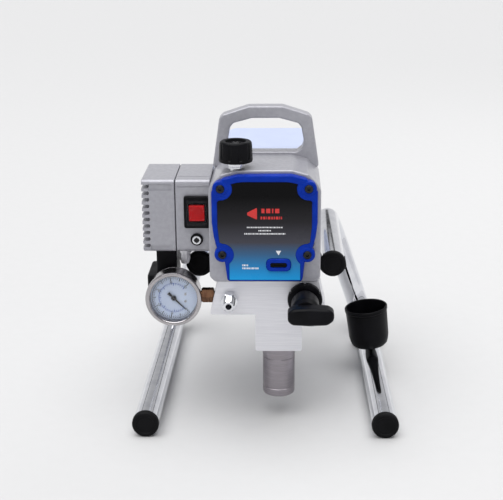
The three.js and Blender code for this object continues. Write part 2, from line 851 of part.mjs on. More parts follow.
// The connecting rod: a fork over the piston rod's end and a big end at the top of the crank's turn.
function connectingRod() {
  const bigZ = crankZ + stroke / 2;
  const [front, back] = [pumpY - conrodThickness / 2, pumpY + conrodThickness / 2];
  const bigEnd = rod("y", bigEndRadius, front, back, [pumpX, 0, bigZ], 28);
  const shank = box(pumpX - 8, pumpX + 8, front, back, rodTop + 3, bigZ);
  const forkHalf = pistonRadius + 4;
  const fork = box(pumpX - 9, pumpX + 9, pumpY - forkHalf, pumpY + forkHalf, wristPinZ - 8, rodTop + 8);
  const slot = box(
    pumpX - 10,
    pumpX + 10,
    pumpY - pistonRadius - gap,
    pumpY + pistonRadius + gap,
    wristPinZ - 9,
    rodTop + 2,
  );
  const pinReach = forkHalf + 1;
  const pinAt = [pumpX, 0, wristPinZ];
  const pinHole = rod("y", wristPinRadius + gap, pumpY - pinReach, pumpY + pinReach, pinAt, 16);
  const bore = rod("y", crankPinRadius + gap, front - 1, back + 1, [pumpX, 0, bigZ], 20);
  return cut(join(cut(fork, slot), shank, bigEnd), pinHole, bore);
}

// The crank pin is held by the connecting rod and ends just short of the crank gear's face.
const crankPin = () =>
  rod(
    "y",
    crankPinRadius,
    pumpY - conrodThickness / 2 - 3,
    crankGearFrontY - gap,
    [pumpX, 0, crankZ + stroke / 2],
    16,
  );

// ---------- drive ----------

// A gear's outline with straight-sided teeth, one tooth pointing along the start angle.
function gearOutline(teeth, module, centre, start) {
  const pitch = (module * teeth) / 2;
  const halfAtPitch = ((Math.PI * module) / 4) * (1 - toothSlack);
  const slope = Math.tan(degrees(20));
  const flank = [-1.25, 0.9].map((height) => [
    pitch + height * module,
    (halfAtPitch - height * module * slope) / (pitch + height * module),
  ]);
  const points = [];
  for (let i = 0; i < teeth; i++) {
    const middle = start + (2 * Math.PI * i) / teeth;
    const sides = [
      ...flank.map(([r, half]) => [r, middle - half]),
      ...flank.toReversed().map(([r, half]) => [r, middle + half]),
    ];
    const place = ([r, angle]) => [centre.x + r * Math.cos(angle), centre.y + r * Math.sin(angle)];
    points.push(...sides.map(place));
  }
  return polygon(points);
}

// Angle of the line from one axis to another, seen from the front.
const bearingAngle = (from, to) => Math.atan2(to.y - from.y, to.x - from.x);

const largeGearBackY = largeGearFrontY + largeGearWidth;

function crankGear() {
  const { crank, middle } = centres;
  const back = crankGearFrontY + crankGearWidth;
  const start = bearingAngle(crank, middle) + Math.PI / crankTeeth;
  const teeth = frontPrism(gearOutline(crankTeeth, secondModule, crank, start), crankGearFrontY, back);
  const hub = rod("y", crankHubRadius, back - 1, gearWallY - gap, [crank.x, 0, crank.y]);
  const shaft = rod("y", crankShaftRadius, back - 1, gearWallY + bearingWidth - gap, [crank.x, 0, crank.y]);
  return join(teeth, hub, shaft);
}

const bearing = (outer, inner, from, to, at) =>
  turned(
    "y",
    [
      [inner, from],
      [inner + 2, from],
      [inner + 2.4, from + 1],
      [outer - 2.4, from + 1],
      [outer - 2, from],
      [outer, from],
      [outer, to],
      [inner, to],
      [inner, from],
    ],
    at,
    16,
  );

const crankBearing = () =>
  bearing(crankBearingRadius, crankShaftRadius + 0.25, gearWallY, gearWallY + bearingWidth, [
    centres.crank.x,
    0,
    centres.crank.y,
  ]);

function intermediateGear() {
  const { motor, crank, middle } = centres;
  const largeStart = bearingAngle(middle, motor) + Math.PI / largeTeeth;
  const largeOutline = gearOutline(largeTeeth, firstModule, middle, largeStart);
  const large = frontPrism(largeOutline, largeGearFrontY, largeGearBackY);
  const smallStart = bearingAngle(middle, crank);
  const small = frontPrism(
    gearOutline(smallTeeth, secondModule, middle, smallStart),
    crankGearFrontY - 1,
    largeGearFrontY + 1,
  );
  const stud = rod("y", 4, crankGearFrontY - 6, gearWallY + 8, [middle.x, 0, middle.y], 16);
  return join(large, small, stud);
}

const canFrontY = motorFrontY;
const bearingBossY = canFrontY + 12;

function rotor() {
  const { motor, middle } = centres;
  const at = [motor.x, 0, motor.y];
  const start = bearingAngle(motor, middle);
  const pinion = frontPrism(
    gearOutline(motorTeeth, firstModule, motor, start),
    largeGearFrontY - 1,
    largeGearBackY + 1.5,
  );
  const shaft = rod("y", motorShaftRadius, largeGearBackY, shroudBackY - 14, at, 16);
  const stack = softRod("y", rotorRadius, canFrontY + 30, canFrontY + 95, 1, at, 20);
  const commutator = rod("y", 13, canFrontY + 100, canFrontY + 120, at, 20);
  const neck = rod("y", 9, canFrontY + 90, canFrontY + 105, at, 16);
  return join(pinion, shaft, stack, neck, commutator);
}

function motorBearing() {
  const front = canFrontY + gap;
  return bearing(12, motorShaftRadius + 0.25, front, front + 9, [centres.motor.x, 0, centres.motor.y]);
}

// The motor's field can: a drum with a front wall, a bearing seat and an open back.
function motorCan() {
  const at = [0, 0, motorZ];
  const inner = motorCanRadius - motorCanWall;
  const drum = ring("y", motorCanRadius, inner, canFrontY, motorBackY, at, 24);
  const wall = ring("y", inner + 1, 12 + gap, canFrontY, bearingBossY, at, 20);
  return join(drum, wall);
}

function endBell() {
  const at = [0, 0, motorZ];
  const front = motorBackY + gap;
  const disc = rod("y", motorCanRadius, front, front + 8, at, 24);
  const shaftHole = rod("y", motorShaftRadius + runningGap, front - 1, front + 9, at, 16);
  const vents = Array.from({ length: ventCount }, (_, i) => {
    const angle = (2 * Math.PI * i) / ventCount;
    const at = [ventCircle * Math.cos(angle), 0, motorZ + ventCircle * Math.sin(angle)];
    return rod("y", ventRadius, front - 1, front + 9, at, 8);
  });
  return cut(disc, shaftHole, ...vents);
}

const fanFrontY = motorBackY + 14;

function coolingFan() {
  const at = [0, 0, motorZ];
  const hub = rod("y", 10, fanFrontY, fanFrontY + 16, at, 14);
  const plate = rod("y", 38, fanFrontY, fanFrontY + 2.5, at, 20);
  const blades = Array.from({ length: 7 }, (_, i) => {
    const blade = box(-1, 1, fanFrontY + 1, fanFrontY + 14, 9, 37);
    return blade.rotateY((2 * Math.PI * i) / 7).translate(0, 0, motorZ);
  });
  const bore = rod("y", motorShaftRadius + gap, fanFrontY - 1, fanFrontY + 17, at, 16);
  return cut(join(hub, plate, ...blades), bore);
}

// The plastic shroud over the motor and fan, open at the front, slotted at the back.
function motorShroud() {
  const outline = (inset) =>
    roundedRect(
      -shroudHalf + inset,
      shroudHalf - inset,
      shroudBottom + inset,
      shroudTop - inset,
      shroudCorner - inset,
    );
  const backWallY = shroudBackY - 2 * shroudWall;
  const outer = frontPrism(outline(0), shroudFrontY, shroudBackY, 3);
  const inner = frontPrism(outline(shroudWall), shroudFrontY - 1, backWallY);
  const slots = Array.from({ length: slotCount }, (_, i) => {
    const row = i - (slotCount - 1) / 2;
    const z = (shroudBottom + shroudTop) / 2 + row * slotPitch;
    return box(-slotHalf, slotHalf, backWallY - 1, shroudBackY + 1, z - slotHeight / 2, z + slotHeight / 2);
  });
  return cut(outer, inner, ...slots);
}

// ---------- fittings ----------

function outletFitting() {
  const hex = frontPrism(hexagon(outletHexRadius, outletX, portZ), blockFrontY - 12, blockFrontY - gap);
  const at = [outletX, 0, portZ];
  const nipple = softRod("y", 7, outletTipY, blockFrontY - 11, 1, at, 16);
  const spigot = rod("y", 7, blockFrontY - 1, blockFrontY + 13, at, 16);
  const bore = rod("y", 3.5, outletTipY - 1, blockFrontY + 14, at, 16);
  return cut(join(hex, nipple, spigot), bore);
}

const gaugeCaseX = gaugeX + gaugeRadius - 2;

function gaugeAdapter() {
  const share = (blockTop - gaugeZ) / (blockTop - blockStep);
  const blockEdge = blockX - blockHalfTop - (blockHalfStep - blockHalfTop) * share;
  const hexEnd = blockEdge - 3.2;
  const at = [0, gaugeStemY, gaugeZ];
  const hex = turned("x", [[0, gaugeCaseX + 1.2], [9, gaugeCaseX + 1.2], [9, hexEnd], [0, hexEnd]], at, 6);
  const stem = rod("x", gaugeStemRadius, gaugeCaseX - 9, blockEdge + 12, at, 16);
  return join(hex, stem);
}

function gaugeCase() {
  const at = [gaugeX, 0, gaugeZ];
  const back = gaugeFaceY + gaugeDepth;
  const outer = gaugeRadius - 2;
  const profile = [
    [0, dialY + 2.5],
    [outer - 3, dialY + 2.5],
    [outer - 3, gaugeFaceY + 4],
    [outer, gaugeFaceY + 4],
    [outer, back - 3],
    [outer - 3, back],
    [0, back],
  ];
  const stemAt = [0, gaugeStemY, gaugeZ];
  const stemBore = rod("x", gaugeStemRadius + gap, gaugeCaseX - 10, gaugeCaseX + 5, stemAt, 16);
  return cut(turned("y", profile, at, 24), stemBore);
}

function gaugeBezel() {
  const at = [gaugeX, 0, gaugeZ];
  const opening = gaugeRadius - bezelWidth;
  const profile = [
    [opening, gaugeFaceY + 0.8],
    [opening + 1.6, gaugeFaceY],
    [gaugeRadius - 1.2, gaugeFaceY],
    [gaugeRadius, gaugeFaceY + 1.2],
    [gaugeRadius, gaugeFaceY + bezelDepth],
    [gaugeRadius - 2 + gap, gaugeFaceY + bezelDepth],
    [gaugeRadius - 2 + gap, gaugeFaceY + 3.5],
    [opening, gaugeFaceY + 3.5],
    [opening, gaugeFaceY + 0.8],
  ];
  return turned("y", profile, at, 24);
}

const gaugeLens = () =>
  rod(
    "y",
    gaugeRadius - bezelWidth - gap,
    gaugeFaceY + 1.2,
    gaugeFaceY + 1.2 + lensThickness,
    [gaugeX, 0, gaugeZ],
    24,
  );

const gaugeDial = () =>
  rod("y", gaugeRadius - 5 - gap, dialY, dialY + 1.6, [gaugeX, 0, gaugeZ], 24);

// The needle points down to the right at rest, where the turned gauge reads zero.
function gaugeNeedle() {
  const at = [gaugeX, 0, gaugeZ];
  const pointer = polygon([
    [-9, -1.8],
    [-9, 1.8],
    [0, 1.1],
    [20.5, 0.3],
    [20.5, -0.3],
    [0, -1.1],
  ]);
  const blade = frontPrism(pointer, needleY, needleY + needleThickness);
  blade.rotateY(degrees(45)).translate(...at);
  const hub = rod("y", 3, needleY - 0.8, needleY + needleThickness + 0.8, at, 14);
  return join(blade, hub);
}

function valveBase() {
  const at = [valveX, 0, portZ];
  const back = blockFrontY - gap;
  const flange = softRod("y", valveBaseRadius, back - 7, back, 1, at, 20);
  const neck = rod("y", valveSkirtRadius - 3, back - 16, back - 6, at, 16);
  const bore = rod("y", valveStemRadius + runningGap, back - 17, back + 1, at, 16);
  return cut(join(flange, neck), bore);
}

// The prime lever: a round skirt, an uneven bar across its front and a stem into the block.
function primeLever() {
  const at = [valveX, 0, portZ];
  const skirtBack = blockFrontY - gap - 17;
  const skirt = turned(
    "y",
    [
      [0, leverBackY - 4],
      [valveSkirtRadius - 3, leverBackY - 4],
      [valveSkirtRadius, leverBackY + 4],
      [valveSkirtRadius, skirtBack],
      [0, skirtBack],
    ],
    at,
    24,
  );
  const half = leverHeight / 2;
  const bar = frontPrism(
    roundedRect(valveX - leverShort, valveX + leverLong, portZ - half, portZ + half, 8),
    leverFrontY,
    leverBackY,
    3,
  );
  const stem = rod("y", valveStemRadius, skirtBack - 1, blockFrontY + 15, at, 16);
  return join(skirt, bar, stem);
}

function returnFitting() {
  const at = [returnX, returnY, 0];
  const top = blockStep - gap;
  const profile = [
    [0, returnBottom],
    [returnRadius - 1, returnBottom],
    [returnRadius, returnBottom + 4],
    [returnRadius - 0.7, returnBottom + 4.5],
    [returnRadius, returnBottom + 9],
    [returnRadius - 0.7, returnBottom + 9.5],
    [returnRadius - 0.7, top - 6],
    [6, top - 6],
    [6, top],
    [3, top],
    [3, top + 7],
    [0, top + 7],
  ];
  return turned("z", profile, at, 12);
}

// ---------- pressure control ----------

function pressureRegulator() {
  const at = [knobX, knobY, 0];
  const seat = housingTop + gap;
  const profile = [
    [0, housingTop - 42],
    [7, housingTop - 42],
    [7, seat],
    [regulatorRadius, seat],
    [regulatorRadius, knobBottom - 1.2],
    [4, knobBottom - 1.2],
    [4, knobBottom + 10],
    [0, knobBottom + 10],
  ];
  return turned("z", profile, at, 20);
}

function pressureKnob() {
  const at = [knobX, knobY, 0];
  const body = turned(
    "z",
    [
      [0, knobBottom],
      [knobRadius - 1, knobBottom],
      [knobRadius, knobBottom + 1.5],
      [knobRadius - 1, knobTop - 3],
      [knobRadius - 3.5, knobTop],
      [knobRadius - 7, knobTop],
      [knobRadius - 8.5, knobTop - 3.5],
      [0, knobTop - 3.5],
    ],
    at,
    20,
  );
  const flutes = Array.from({ length: knobFlutes }, (_, i) => {
    const angle = (2 * Math.PI * i) / knobFlutes;
    const reach = knobRadius + 2.2;
    return rod(
      "z",
      3.4,
      knobBottom + 3,
      knobTop + 1,
      [knobX + reach * Math.cos(angle), knobY + reach * Math.sin(angle), 0],
      6,
    );
  });
  const socket = rod("z", 4 + runningGap, knobBottom - 1, knobBottom + 10 + runningGap, at, 16);
  const screwHole = rod("z", 2, knobBottom + 8, knobTop + 1, at, 12);
  return cut(body, ...flutes, socket, screwHole);
}

const knobScrew = () =>
  turned(
    "z",
    [
      [0, knobBottom + 10.8],
      [1.6, knobBottom + 10.8],
      [1.6, knobTop - 3.5 + gap],
      [4, knobTop - 3.5 + gap],
      [3.4, knobTop - 1.2],
      [0, knobTop - 1.2],
    ],
    [knobX, knobY, 0],
    16,
  );

// ---------- control box ----------

const boxOutline = () => roundedRect(boxSeamX + gap, boxRightX + 6, boxBottom, boxTop, boxEdge);

function controlBox() {
  const left = boxSeamX + gap;
  const blank = frontPrism(boxOutline(), boxFrontY, boxBackY, boxEdge - 1.5);
  const flatLeft = box(left, left + 12, boxFrontY, boxBackY, boxBottom, boxTop);
  const past = box(boxRightX, boxRightX + 10, boxFrontY - 1, boxBackY + 1, boxBottom - 1, boxTop + 1);
  const outer = cut(blank, past);
  const hollow = box(
    left - 1,
    boxRightX - boxWall,
    boxFrontY + boxWall,
    boxBackY - boxWall,
    boxBottom + boxWall,
    boxTop - boxWall,
  );
  const halfX = bezelWidthX / 2 - 3;
  const halfZ = bezelHeightZ / 2 - 3;
  const inFront = boxFrontY - 1;
  const behind = boxFrontY + boxWall + 1;
  const switchHole = box(bezelX - halfX, bezelX + halfX, inFront, behind, bezelZ - halfZ, bezelZ + halfZ);
  const fuseHole = rod("y", 5 + gap, inFront, behind, [fuseX, 0, fuseZ], 16);
  const glandHole = rod("z", 5 + gap, boxBottom - 1, boxBottom + boxWall + 1, [glandX, glandY, 0], 16);
  const squared = join(outer, roundedSection(flatLeft));
  return cut(squared, hollow, switchHole, fuseHole, glandHole);
}

// The seam end of the box keeps the same rounded section right up to the joint face.
function roundedSection(block) {
  const outline = roundedRect(boxFrontY, boxBackY, boxBottom, boxTop, boxEdge);
  const section = new THREE.ExtrudeGeometry(outline, {
    depth: 400,
    bevelEnabled: false,
    curveSegments: 2,
  });
  section.rotateX(Math.PI / 2).rotateZ(Math.PI / 2).translate(-300, 0, 0);
  return common(block, section);
}

// The ribbed end of the box: horizontal fins on its outer side.
function heatSink() {
  const right = boxSeamX - gap;
  const blank = roundedSection(box(boxLeftX, right, boxFrontY, boxBackY, boxBottom, boxTop));
  const pitch = (boxTop - boxBottom) / finCount;
  const grooves = Array.from({ length: finCount - 1 }, (_, i) => {
    const z = boxBottom + pitch * (i + 1);
    const half = pitch * finGrooveShare;
    return box(boxLeftX - 1, boxLeftX + finDepth, boxFrontY - 1, boxBackY + 1, z - half, z + half);
  });
  const hollow = box(
    boxLeftX + finDepth + 4,
    right + 1,
    boxFrontY + boxWall,
    boxBackY - boxWall,
    boxBottom + boxWall,
    boxTop - boxWall,
  );
  const inFront = boxFrontY - 1;
  const sunk = boxFrontY + 2;
  const upperRecess = box(boxLeftX + 8, right - 4, inFront, sunk, boxTop - 11, boxTop - 2);
  const lowerRecess = box(boxLeftX + 9, right - 5, inFront, sunk, boxBottom + 2, boxBottom + 8);
  return cut(blank, ...grooves, hollow, upperRecess, lowerRecess);
}

function circuitBoard() {
  const left = boxLeftX + finDepth + 4 + gap;
  const board = box(left + 4, left + 5.6, boxFrontY + 8, boxBackY - 8, boxBottom + 8, boxTop - 8);
  const standoff = box(left, left + 5, boxFrontY + 30, boxFrontY + 50, boxBottom + 30, boxBottom + 50);
  const choke = rod("x", 9, left + 5, left + 20, [0, boxFrontY + 24, boxBottom + 26], 16);
  const capacitor = rod("x", 8, left + 5, left + 26, [0, boxBackY - 24, boxTop - 26], 16);
  return join(board, standoff, choke, capacitor);
}

function switchBezel() {
  const [halfX, halfZ] = [bezelWidthX / 2, bezelHeightZ / 2];
  const back = boxFrontY - gap;
  const frame = frontPrism(
    roundedRect(bezelX - halfX, bezelX + halfX, bezelZ - halfZ, bezelZ + halfZ, 3),
    back - 5,
    back,
    1,
  );
  const bodyX = halfX - 3.5;
  const bodyZ = halfZ - 3.5;
  const body = box(bezelX - bodyX, bezelX + bodyX, back - 1, back + 18, bezelZ - bodyZ, bezelZ + bodyZ);
  const opening = box(
    bezelX - rockerWidth / 2 - runningGap,
    bezelX + rockerWidth / 2 + runningGap,
    back - 6,
    back + 10,
    bezelZ - rockerHeight / 2 - 1.2,
    bezelZ + rockerHeight / 2 + 1.2,
  );
  return cut(join(frame, body), opening);
}

const rockerPivotY = boxFrontY + 1;
const rockerAngle = 9; // degrees each side of level

// The rocker, pressed at the top at rest, turning about a level line across its middle.
function switchRocker() {
  const half = rockerHeight / 2;
  const front = rockerPivotY - 7.5;
  const section = new THREE.Shape();
  section.moveTo(front, -half + 0.8);
  section.lineTo(front + 1.2, 0);
  section.lineTo(front, half - 0.8);
  section.lineTo(rockerPivotY, half - 1.2);
  section.lineTo(rockerPivotY + 3, 0);
  section.lineTo(rockerPivotY, -half + 1.2);
  const solid = new THREE.ExtrudeGeometry(section, { depth: rockerWidth, bevelEnabled: false });
  solid.rotateX(Math.PI / 2).rotateZ(Math.PI / 2);
  solid.translate(0, -rockerPivotY, 0).rotateX(degrees(rockerAngle));
  return solid.translate(bezelX - rockerWidth / 2, rockerPivotY, bezelZ);
}

function fuseCap() {
  const at = [fuseX, 0, fuseZ];
  const back = boxFrontY - gap;
  const flange = softRod("y", fuseRadius, back - 3, back, 0.8, at, 16);
  const cap = rod("y", 5.4, back - 6, back - 2, at, 12);
  const body = rod("y", 5, back - 1, back + 20, at, 12);
  const slot = box(fuseX - 3.6, fuseX + 3.6, back - 7, back - 4.8, fuseZ - 0.7, fuseZ + 0.7);
  const cross = box(fuseX - 0.7, fuseX + 0.7, back - 7, back - 4.8, fuseZ - 3.6, fuseZ + 3.6);
  return cut(join(flange, cap, body), slot, cross);
}

function cordGland() {
  const at = [glandX, glandY, 0];
  const top = boxBottom - gap;
  const profile = [
    [2.5, top - 20],
    [5, top - 20],
    [6.5, top - 14],
    [6.5, top - 6],
    [8, top - 6],
    [8, top],
    [5, top],
    [5, top + 9],
    [2.5, top + 9],
    [2.5, top - 20],
  ];
  return turned("z", profile, at, 16);
}

// The moulded cleat under the box that the mains lead is wound on when the machine is put away.
function cordCleat() {
  const top = boxBottom - gap;
  const neckLeft = cleatLeftX + 11;
  const neckOutline = roundedRect(neckLeft, cleatRightX, cleatFrontY + 6, cleatBackY - 6, 4);
  const neck = topPrism(neckOutline, cleatBottom + 6, top, 0, 1);
  const flangeOutline = roundedRect(cleatLeftX, cleatRightX, cleatFrontY, cleatBackY, 5);
  const flange = topPrism(flangeOutline, cleatBottom, cleatBottom + 22, 2);
  return join(neck, flange);
}

// ---------- drip cup ----------

const runnerHeightAt = (y) => plugRadius + ((tubeRadius - plugRadius) * y) / uprightY;

const runnerXAt = (y) => footSpan / 2 - (runnerToeIn * y) / uprightY;

// The cup with its snap clip, both in one moulding that grips the right runner.
function dripCup() {
  const bore = tubeRadius + gap;
  const clipOuter = bore + cupClipWall;
  const cupFloor = clipOuter + 1;
  const outer = [
    [0, cupFloor],
    [cupRadius - 11, cupFloor],
    [cupRadius - 4, cupFloor + 5],
    [cupRadius - 1.5, cupFloor + 14],
    [cupRadius, cupFloor + cupHeight],
  ];
  const inner = [
    [cupRadius - cupWall, cupFloor + cupHeight],
    [cupRadius - cupWall - 1.5, cupFloor + 14],
    [cupRadius - 12, cupFloor + 3],
    [0, cupFloor + 3],
  ];
  const cup = turned("z", [...outer, ...inner], [0, 0, 0], 24);
  const clipFrom = cupRadius + cupArmReach;
  const clipTo = clipFrom + cupClipLength;
  const clip = rod("y", clipOuter, clipFrom, clipTo, [0, 0, 0], 20);
  const arm = box(-7, 7, cupRadius / 2, clipTo, bore - 2, cupFloor + cupArmHeight);
  const tubeHole = rod("y", bore, 0, clipTo + 2, [0, 0, 0], 20);
  const mouth = box(-bore + 4, bore - 4, clipFrom - 2, clipTo + 2, -clipOuter - 1, -7);
  const hollow = [[0, cupFloor + 3], ...inner.toReversed().slice(1), [0, cupFloor + cupHeight]];
  const inside = turned("z", hollow, [0, 0, 0], 24);
  const whole = cut(join(clip, arm, cup), tubeHole, mouth, inside);
  whole.rotateY(degrees(-cupTilt));
  whole.rotateX(-(plugRadius - tubeRadius) / uprightY);
  whole.rotateZ(runnerToeIn / uprightY);
  return whole.translate(runnerXAt(cupY), cupY, runnerHeightAt(cupY));
}

// ---------- the assembly ----------

const sprayer = new THREE.Group();

function add(group, name, finish, geometry) {
  const material = new THREE.MeshStandardMaterial(finishes[finish]);
  const flat = geometryOf(solidOf(geometry)).toNonIndexed();
  flat.computeVertexNormals();
  const mesh = new THREE.Mesh(flat, material);
  mesh.name = name;
  group.add(mesh);
}

function subAssembly() {
  const group = new THREE.Group();
  sprayer.add(group);
  return group;
}

const stand = subAssembly();
for (const [name, side] of [["left", -1], ["right", 1]]) {
  add(stand, `${name}_leg_tube`, "chrome", legTube(side));
  add(stand, `${name}_foot_plug`, "rubber", tubePlug((side * footSpan) / 2, 0, plugRadius));
  add(stand, `${name}_arm_plug`, "rubber", tubePlug((side * armSpan) / 2, armFrontY, armHeight));
  add(stand, `${name}_arm_clamp`, "blackPlastic", armClamp(side));
}
add(stand, "drip_cup", "blackPlastic", dripCup());

const body = subAssembly();
add(body, "main_housing", "casting", mainHousing());
add(body, "front_cover", "blueCover", frontCover());
add(body, "front_label", "panel", frontLabel());
add(body, "oil_plug", "blackPlastic", oilPlug());
coverScrewPlaces().forEach(([x, z], i) => {
  add(body, `cover_screw_${i + 1}`, "blackPlastic", coverScrew(x, z));
});

const pump = subAssembly();
add(pump, "pump_block", "aluminium", pumpBlock());
add(pump, "foot_valve", "stainless", footValve());
add(pump, "inlet_seat", "steel", inletSeat());
add(pump, "inlet_ball", "steel", inletBall());
add(pump, "cylinder_sleeve", "steel", cylinderSleeve());
add(pump, "piston_rod", "chrome", pistonRod());
add(pump, "piston_seat", "steel", pistonSeat());
add(pump, "outlet_ball", "steel", outletBall());
add(pump, "rod_packing", "packing", rodPacking());
add(pump, "packing_nut", "steel", packingNut());
add(pump, "wrist_pin", "steel", wristPin());
add(pump, "connecting_rod", "steel", connectingRod());
add(pump, "crank_pin", "steel", crankPin());

const drive = subAssembly();
add(drive, "crank_gear", "gearSteel", crankGear());
add(drive, "crank_bearing", "steel", crankBearing());
add(drive, "intermediate_gear", "gearSteel", intermediateGear());
add(drive, "rotor", "laminations", rotor());
add(drive, "motor_bearing", "steel", motorBearing());
add(drive, "motor_can", "steel", motorCan());
add(drive, "end_bell", "blackPlastic", endBell());
add(drive, "cooling_fan", "blackPlastic", coolingFan());
add(drive, "motor_shroud", "paleShroud", motorShroud());

const fittings = subAssembly();
add(fittings, "outlet_fitting", "chrome", outletFitting());
add(fittings, "gauge_adapter", "brass", gaugeAdapter());
add(fittings, "gauge_case", "stainless", gaugeCase());
add(fittings, "gauge_bezel", "stainless", gaugeBezel());
add(fittings, "gauge_lens", "glass", gaugeLens());
add(fittings, "gauge_dial", "dial", gaugeDial());
add(fittings, "gauge_needle", "blackPlastic", gaugeNeedle());
add(fittings, "valve_base", "blackPlastic", valveBase());
add(fittings, "prime_lever", "blackPlastic", primeLever());
add(fittings, "return_fitting", "chrome", returnFitting());

const controls = subAssembly();
add(controls, "pressure_regulator", "chrome", pressureRegulator());
add(controls, "pressure_knob", "blackPlastic", pressureKnob());
add(controls, "knob_screw", "steel", knobScrew());
add(controls, "control_box", "casting", controlBox());
add(controls, "heat_sink", "casting", heatSink());
add(controls, "circuit_board", "board", circuitBoard());
add(controls, "switch_bezel", "blackPlastic", switchBezel());
add(controls, "switch_rocker", "redPlastic", switchRocker());
add(controls, "fuse_cap", "chrome", fuseCap());
add(controls, "cord_gland", "aluminium", cordGland());
add(controls, "cord_cleat", "blackPlastic", cordCleat());

const extent = new THREE.Box3().setFromObject(sprayer);
const middleOf = extent.getCenter(new THREE.Vector3());
sprayer.position.set(-middleOf.x, -middleOf.y, -extent.min.z);

export default sprayer;
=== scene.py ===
"""An electric airless paint sprayer on a bent-tube stand, dressed for a soft studio."""

import json
import logging
from dataclasses import dataclass
from enum import Enum
from math import acos, atan2, cos, pi, radians, sin, sqrt, tan

import bpy
from mathutils import Matrix, Vector

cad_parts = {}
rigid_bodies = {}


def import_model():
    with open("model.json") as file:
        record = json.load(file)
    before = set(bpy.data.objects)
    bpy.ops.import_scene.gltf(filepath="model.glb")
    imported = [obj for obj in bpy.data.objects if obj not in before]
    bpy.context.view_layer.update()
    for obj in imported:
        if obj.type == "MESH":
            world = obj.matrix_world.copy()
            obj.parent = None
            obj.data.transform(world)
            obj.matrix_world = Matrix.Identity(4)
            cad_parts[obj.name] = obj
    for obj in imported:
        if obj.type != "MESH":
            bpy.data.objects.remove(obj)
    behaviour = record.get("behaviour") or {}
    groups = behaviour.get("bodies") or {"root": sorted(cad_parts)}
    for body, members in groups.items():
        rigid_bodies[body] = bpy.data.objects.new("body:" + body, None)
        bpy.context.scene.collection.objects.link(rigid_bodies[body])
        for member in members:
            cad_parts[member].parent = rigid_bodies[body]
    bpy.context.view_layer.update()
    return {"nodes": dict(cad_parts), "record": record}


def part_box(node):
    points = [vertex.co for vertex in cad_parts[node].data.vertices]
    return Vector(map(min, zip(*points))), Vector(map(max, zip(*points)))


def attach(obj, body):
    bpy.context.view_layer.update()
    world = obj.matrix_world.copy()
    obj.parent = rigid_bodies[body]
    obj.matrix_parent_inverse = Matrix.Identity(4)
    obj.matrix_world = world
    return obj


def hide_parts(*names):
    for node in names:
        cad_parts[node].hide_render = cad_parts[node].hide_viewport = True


log = logging.getLogger("sprayer")

Point = tuple[float, float, float]
Flat = tuple[float, float]

MM = 0.001  # metres in a millimetre
GAP = 0.35  # the gap between neighbouring pieces, in millimetres


class Axis(Enum):
    """The direction a piece is turned about or pushed along."""

    X = 0
    Y = 1
    Z = 2

    def point(self, across: float, up: float, along: float) -> Vector:
        """The point at two flat places and one place along this axis.

        Args:
            across: first flat place, in millimetres.
            up: second flat place, in millimetres.
            along: place along the axis, in millimetres.

        Returns:
            The point in the machine's frame.
        """
        if self is Axis.X:
            return Vector((along, across, up))
        if self is Axis.Y:
            return Vector((across, along, up))
        return Vector((across, up, along))

    def way(self, amount: float = 1.0) -> Vector:
        """A vector of that length along this axis."""
        return self.point(0.0, 0.0, amount)

    def turn(self) -> Point:
        """The rotation that stands a flat circle across this axis."""
        return {Axis.X: (0.0, pi / 2, 0.0), Axis.Y: (pi / 2, 0.0, 0.0), Axis.Z: (0.0, 0.0, 0.0)}[self]


# ---------- outlines ----------


def rounded(corners: list[Flat], radius: float, steps: int = 5) -> list[Flat]:
    """An outline with every corner rounded.

    Args:
        corners: the sharp outline.
        radius: the corner radius, made smaller where a side is short.
        steps: how many short sides each corner gets.

    Returns:
        The rounded outline.
    """
    made: list[Flat] = []
    for i, corner in enumerate(corners):
        here = Vector(corner)
        back = Vector(corners[i - 1]) - here
        ahead = Vector(corners[(i + 1) % len(corners)]) - here
        half = back.angle(ahead) / 2
        reach = min(radius / tan(half), 0.45 * back.length, 0.45 * ahead.length)
        start, end = here + back.normalized() * reach, here + ahead.normalized() * reach
        for s in range(steps + 1):
            t = s / steps
            spot = start * (1 - t) ** 2 + here * 2 * t * (1 - t) + end * t**2
            made.append((spot.x, spot.y))
    return made


def rectangle(x0: float, x1: float, y0: float, y1: float, radius: float = 0.0, steps: int = 5) -> list[Flat]:
    """A rectangle's outline, with rounded corners when a radius is given.

    Args:
        x0: its left side.
        x1: its right side.
        y0: its lower side.
        y1: its upper side.
        radius: the corner radius, or nothing for sharp corners.
        steps: how many short sides each corner gets.

    Returns:
        The outline's places.
    """
    corners = [(x0, y0), (x1, y0), (x1, y1), (x0, y1)]
    return rounded(corners, radius, steps) if radius else corners


def oblong(at: Flat, half_wide: float, half_high: float, radius: float, steps: int = 6) -> list[Flat]:
    """A rounded rectangle about its middle.

    Args:
        at: its middle.
        half_wide: half its width.
        half_high: half its height.
        radius: the corner radius.
        steps: how many short sides each corner gets.

    Returns:
        The outline's places.
    """
    x, y = at
    return rectangle(x - half_wide, x + half_wide, y - half_high, y + half_high, radius, steps)


def both_halves(half: list[Flat]) -> list[Flat]:
    """A right half outline and its mirror image, as one outline."""
    return half + [(-x, y) for x, y in reversed(half)]


def polygon(sides: int, radius: float, x: float, y: float, start: float = 0.0) -> list[Flat]:
    """A regular polygon's outline.

    Args:
        sides: how many sides it has.
        radius: the radius of its corners.
        x: its middle across.
        y: its middle up.
        start: the first corner's direction.

    Returns:
        The outline's places.
    """
    turns = [start + 2 * pi * i / sides for i in range(sides)]
    return [(x + radius * cos(a), y + radius * sin(a)) for a in turns]


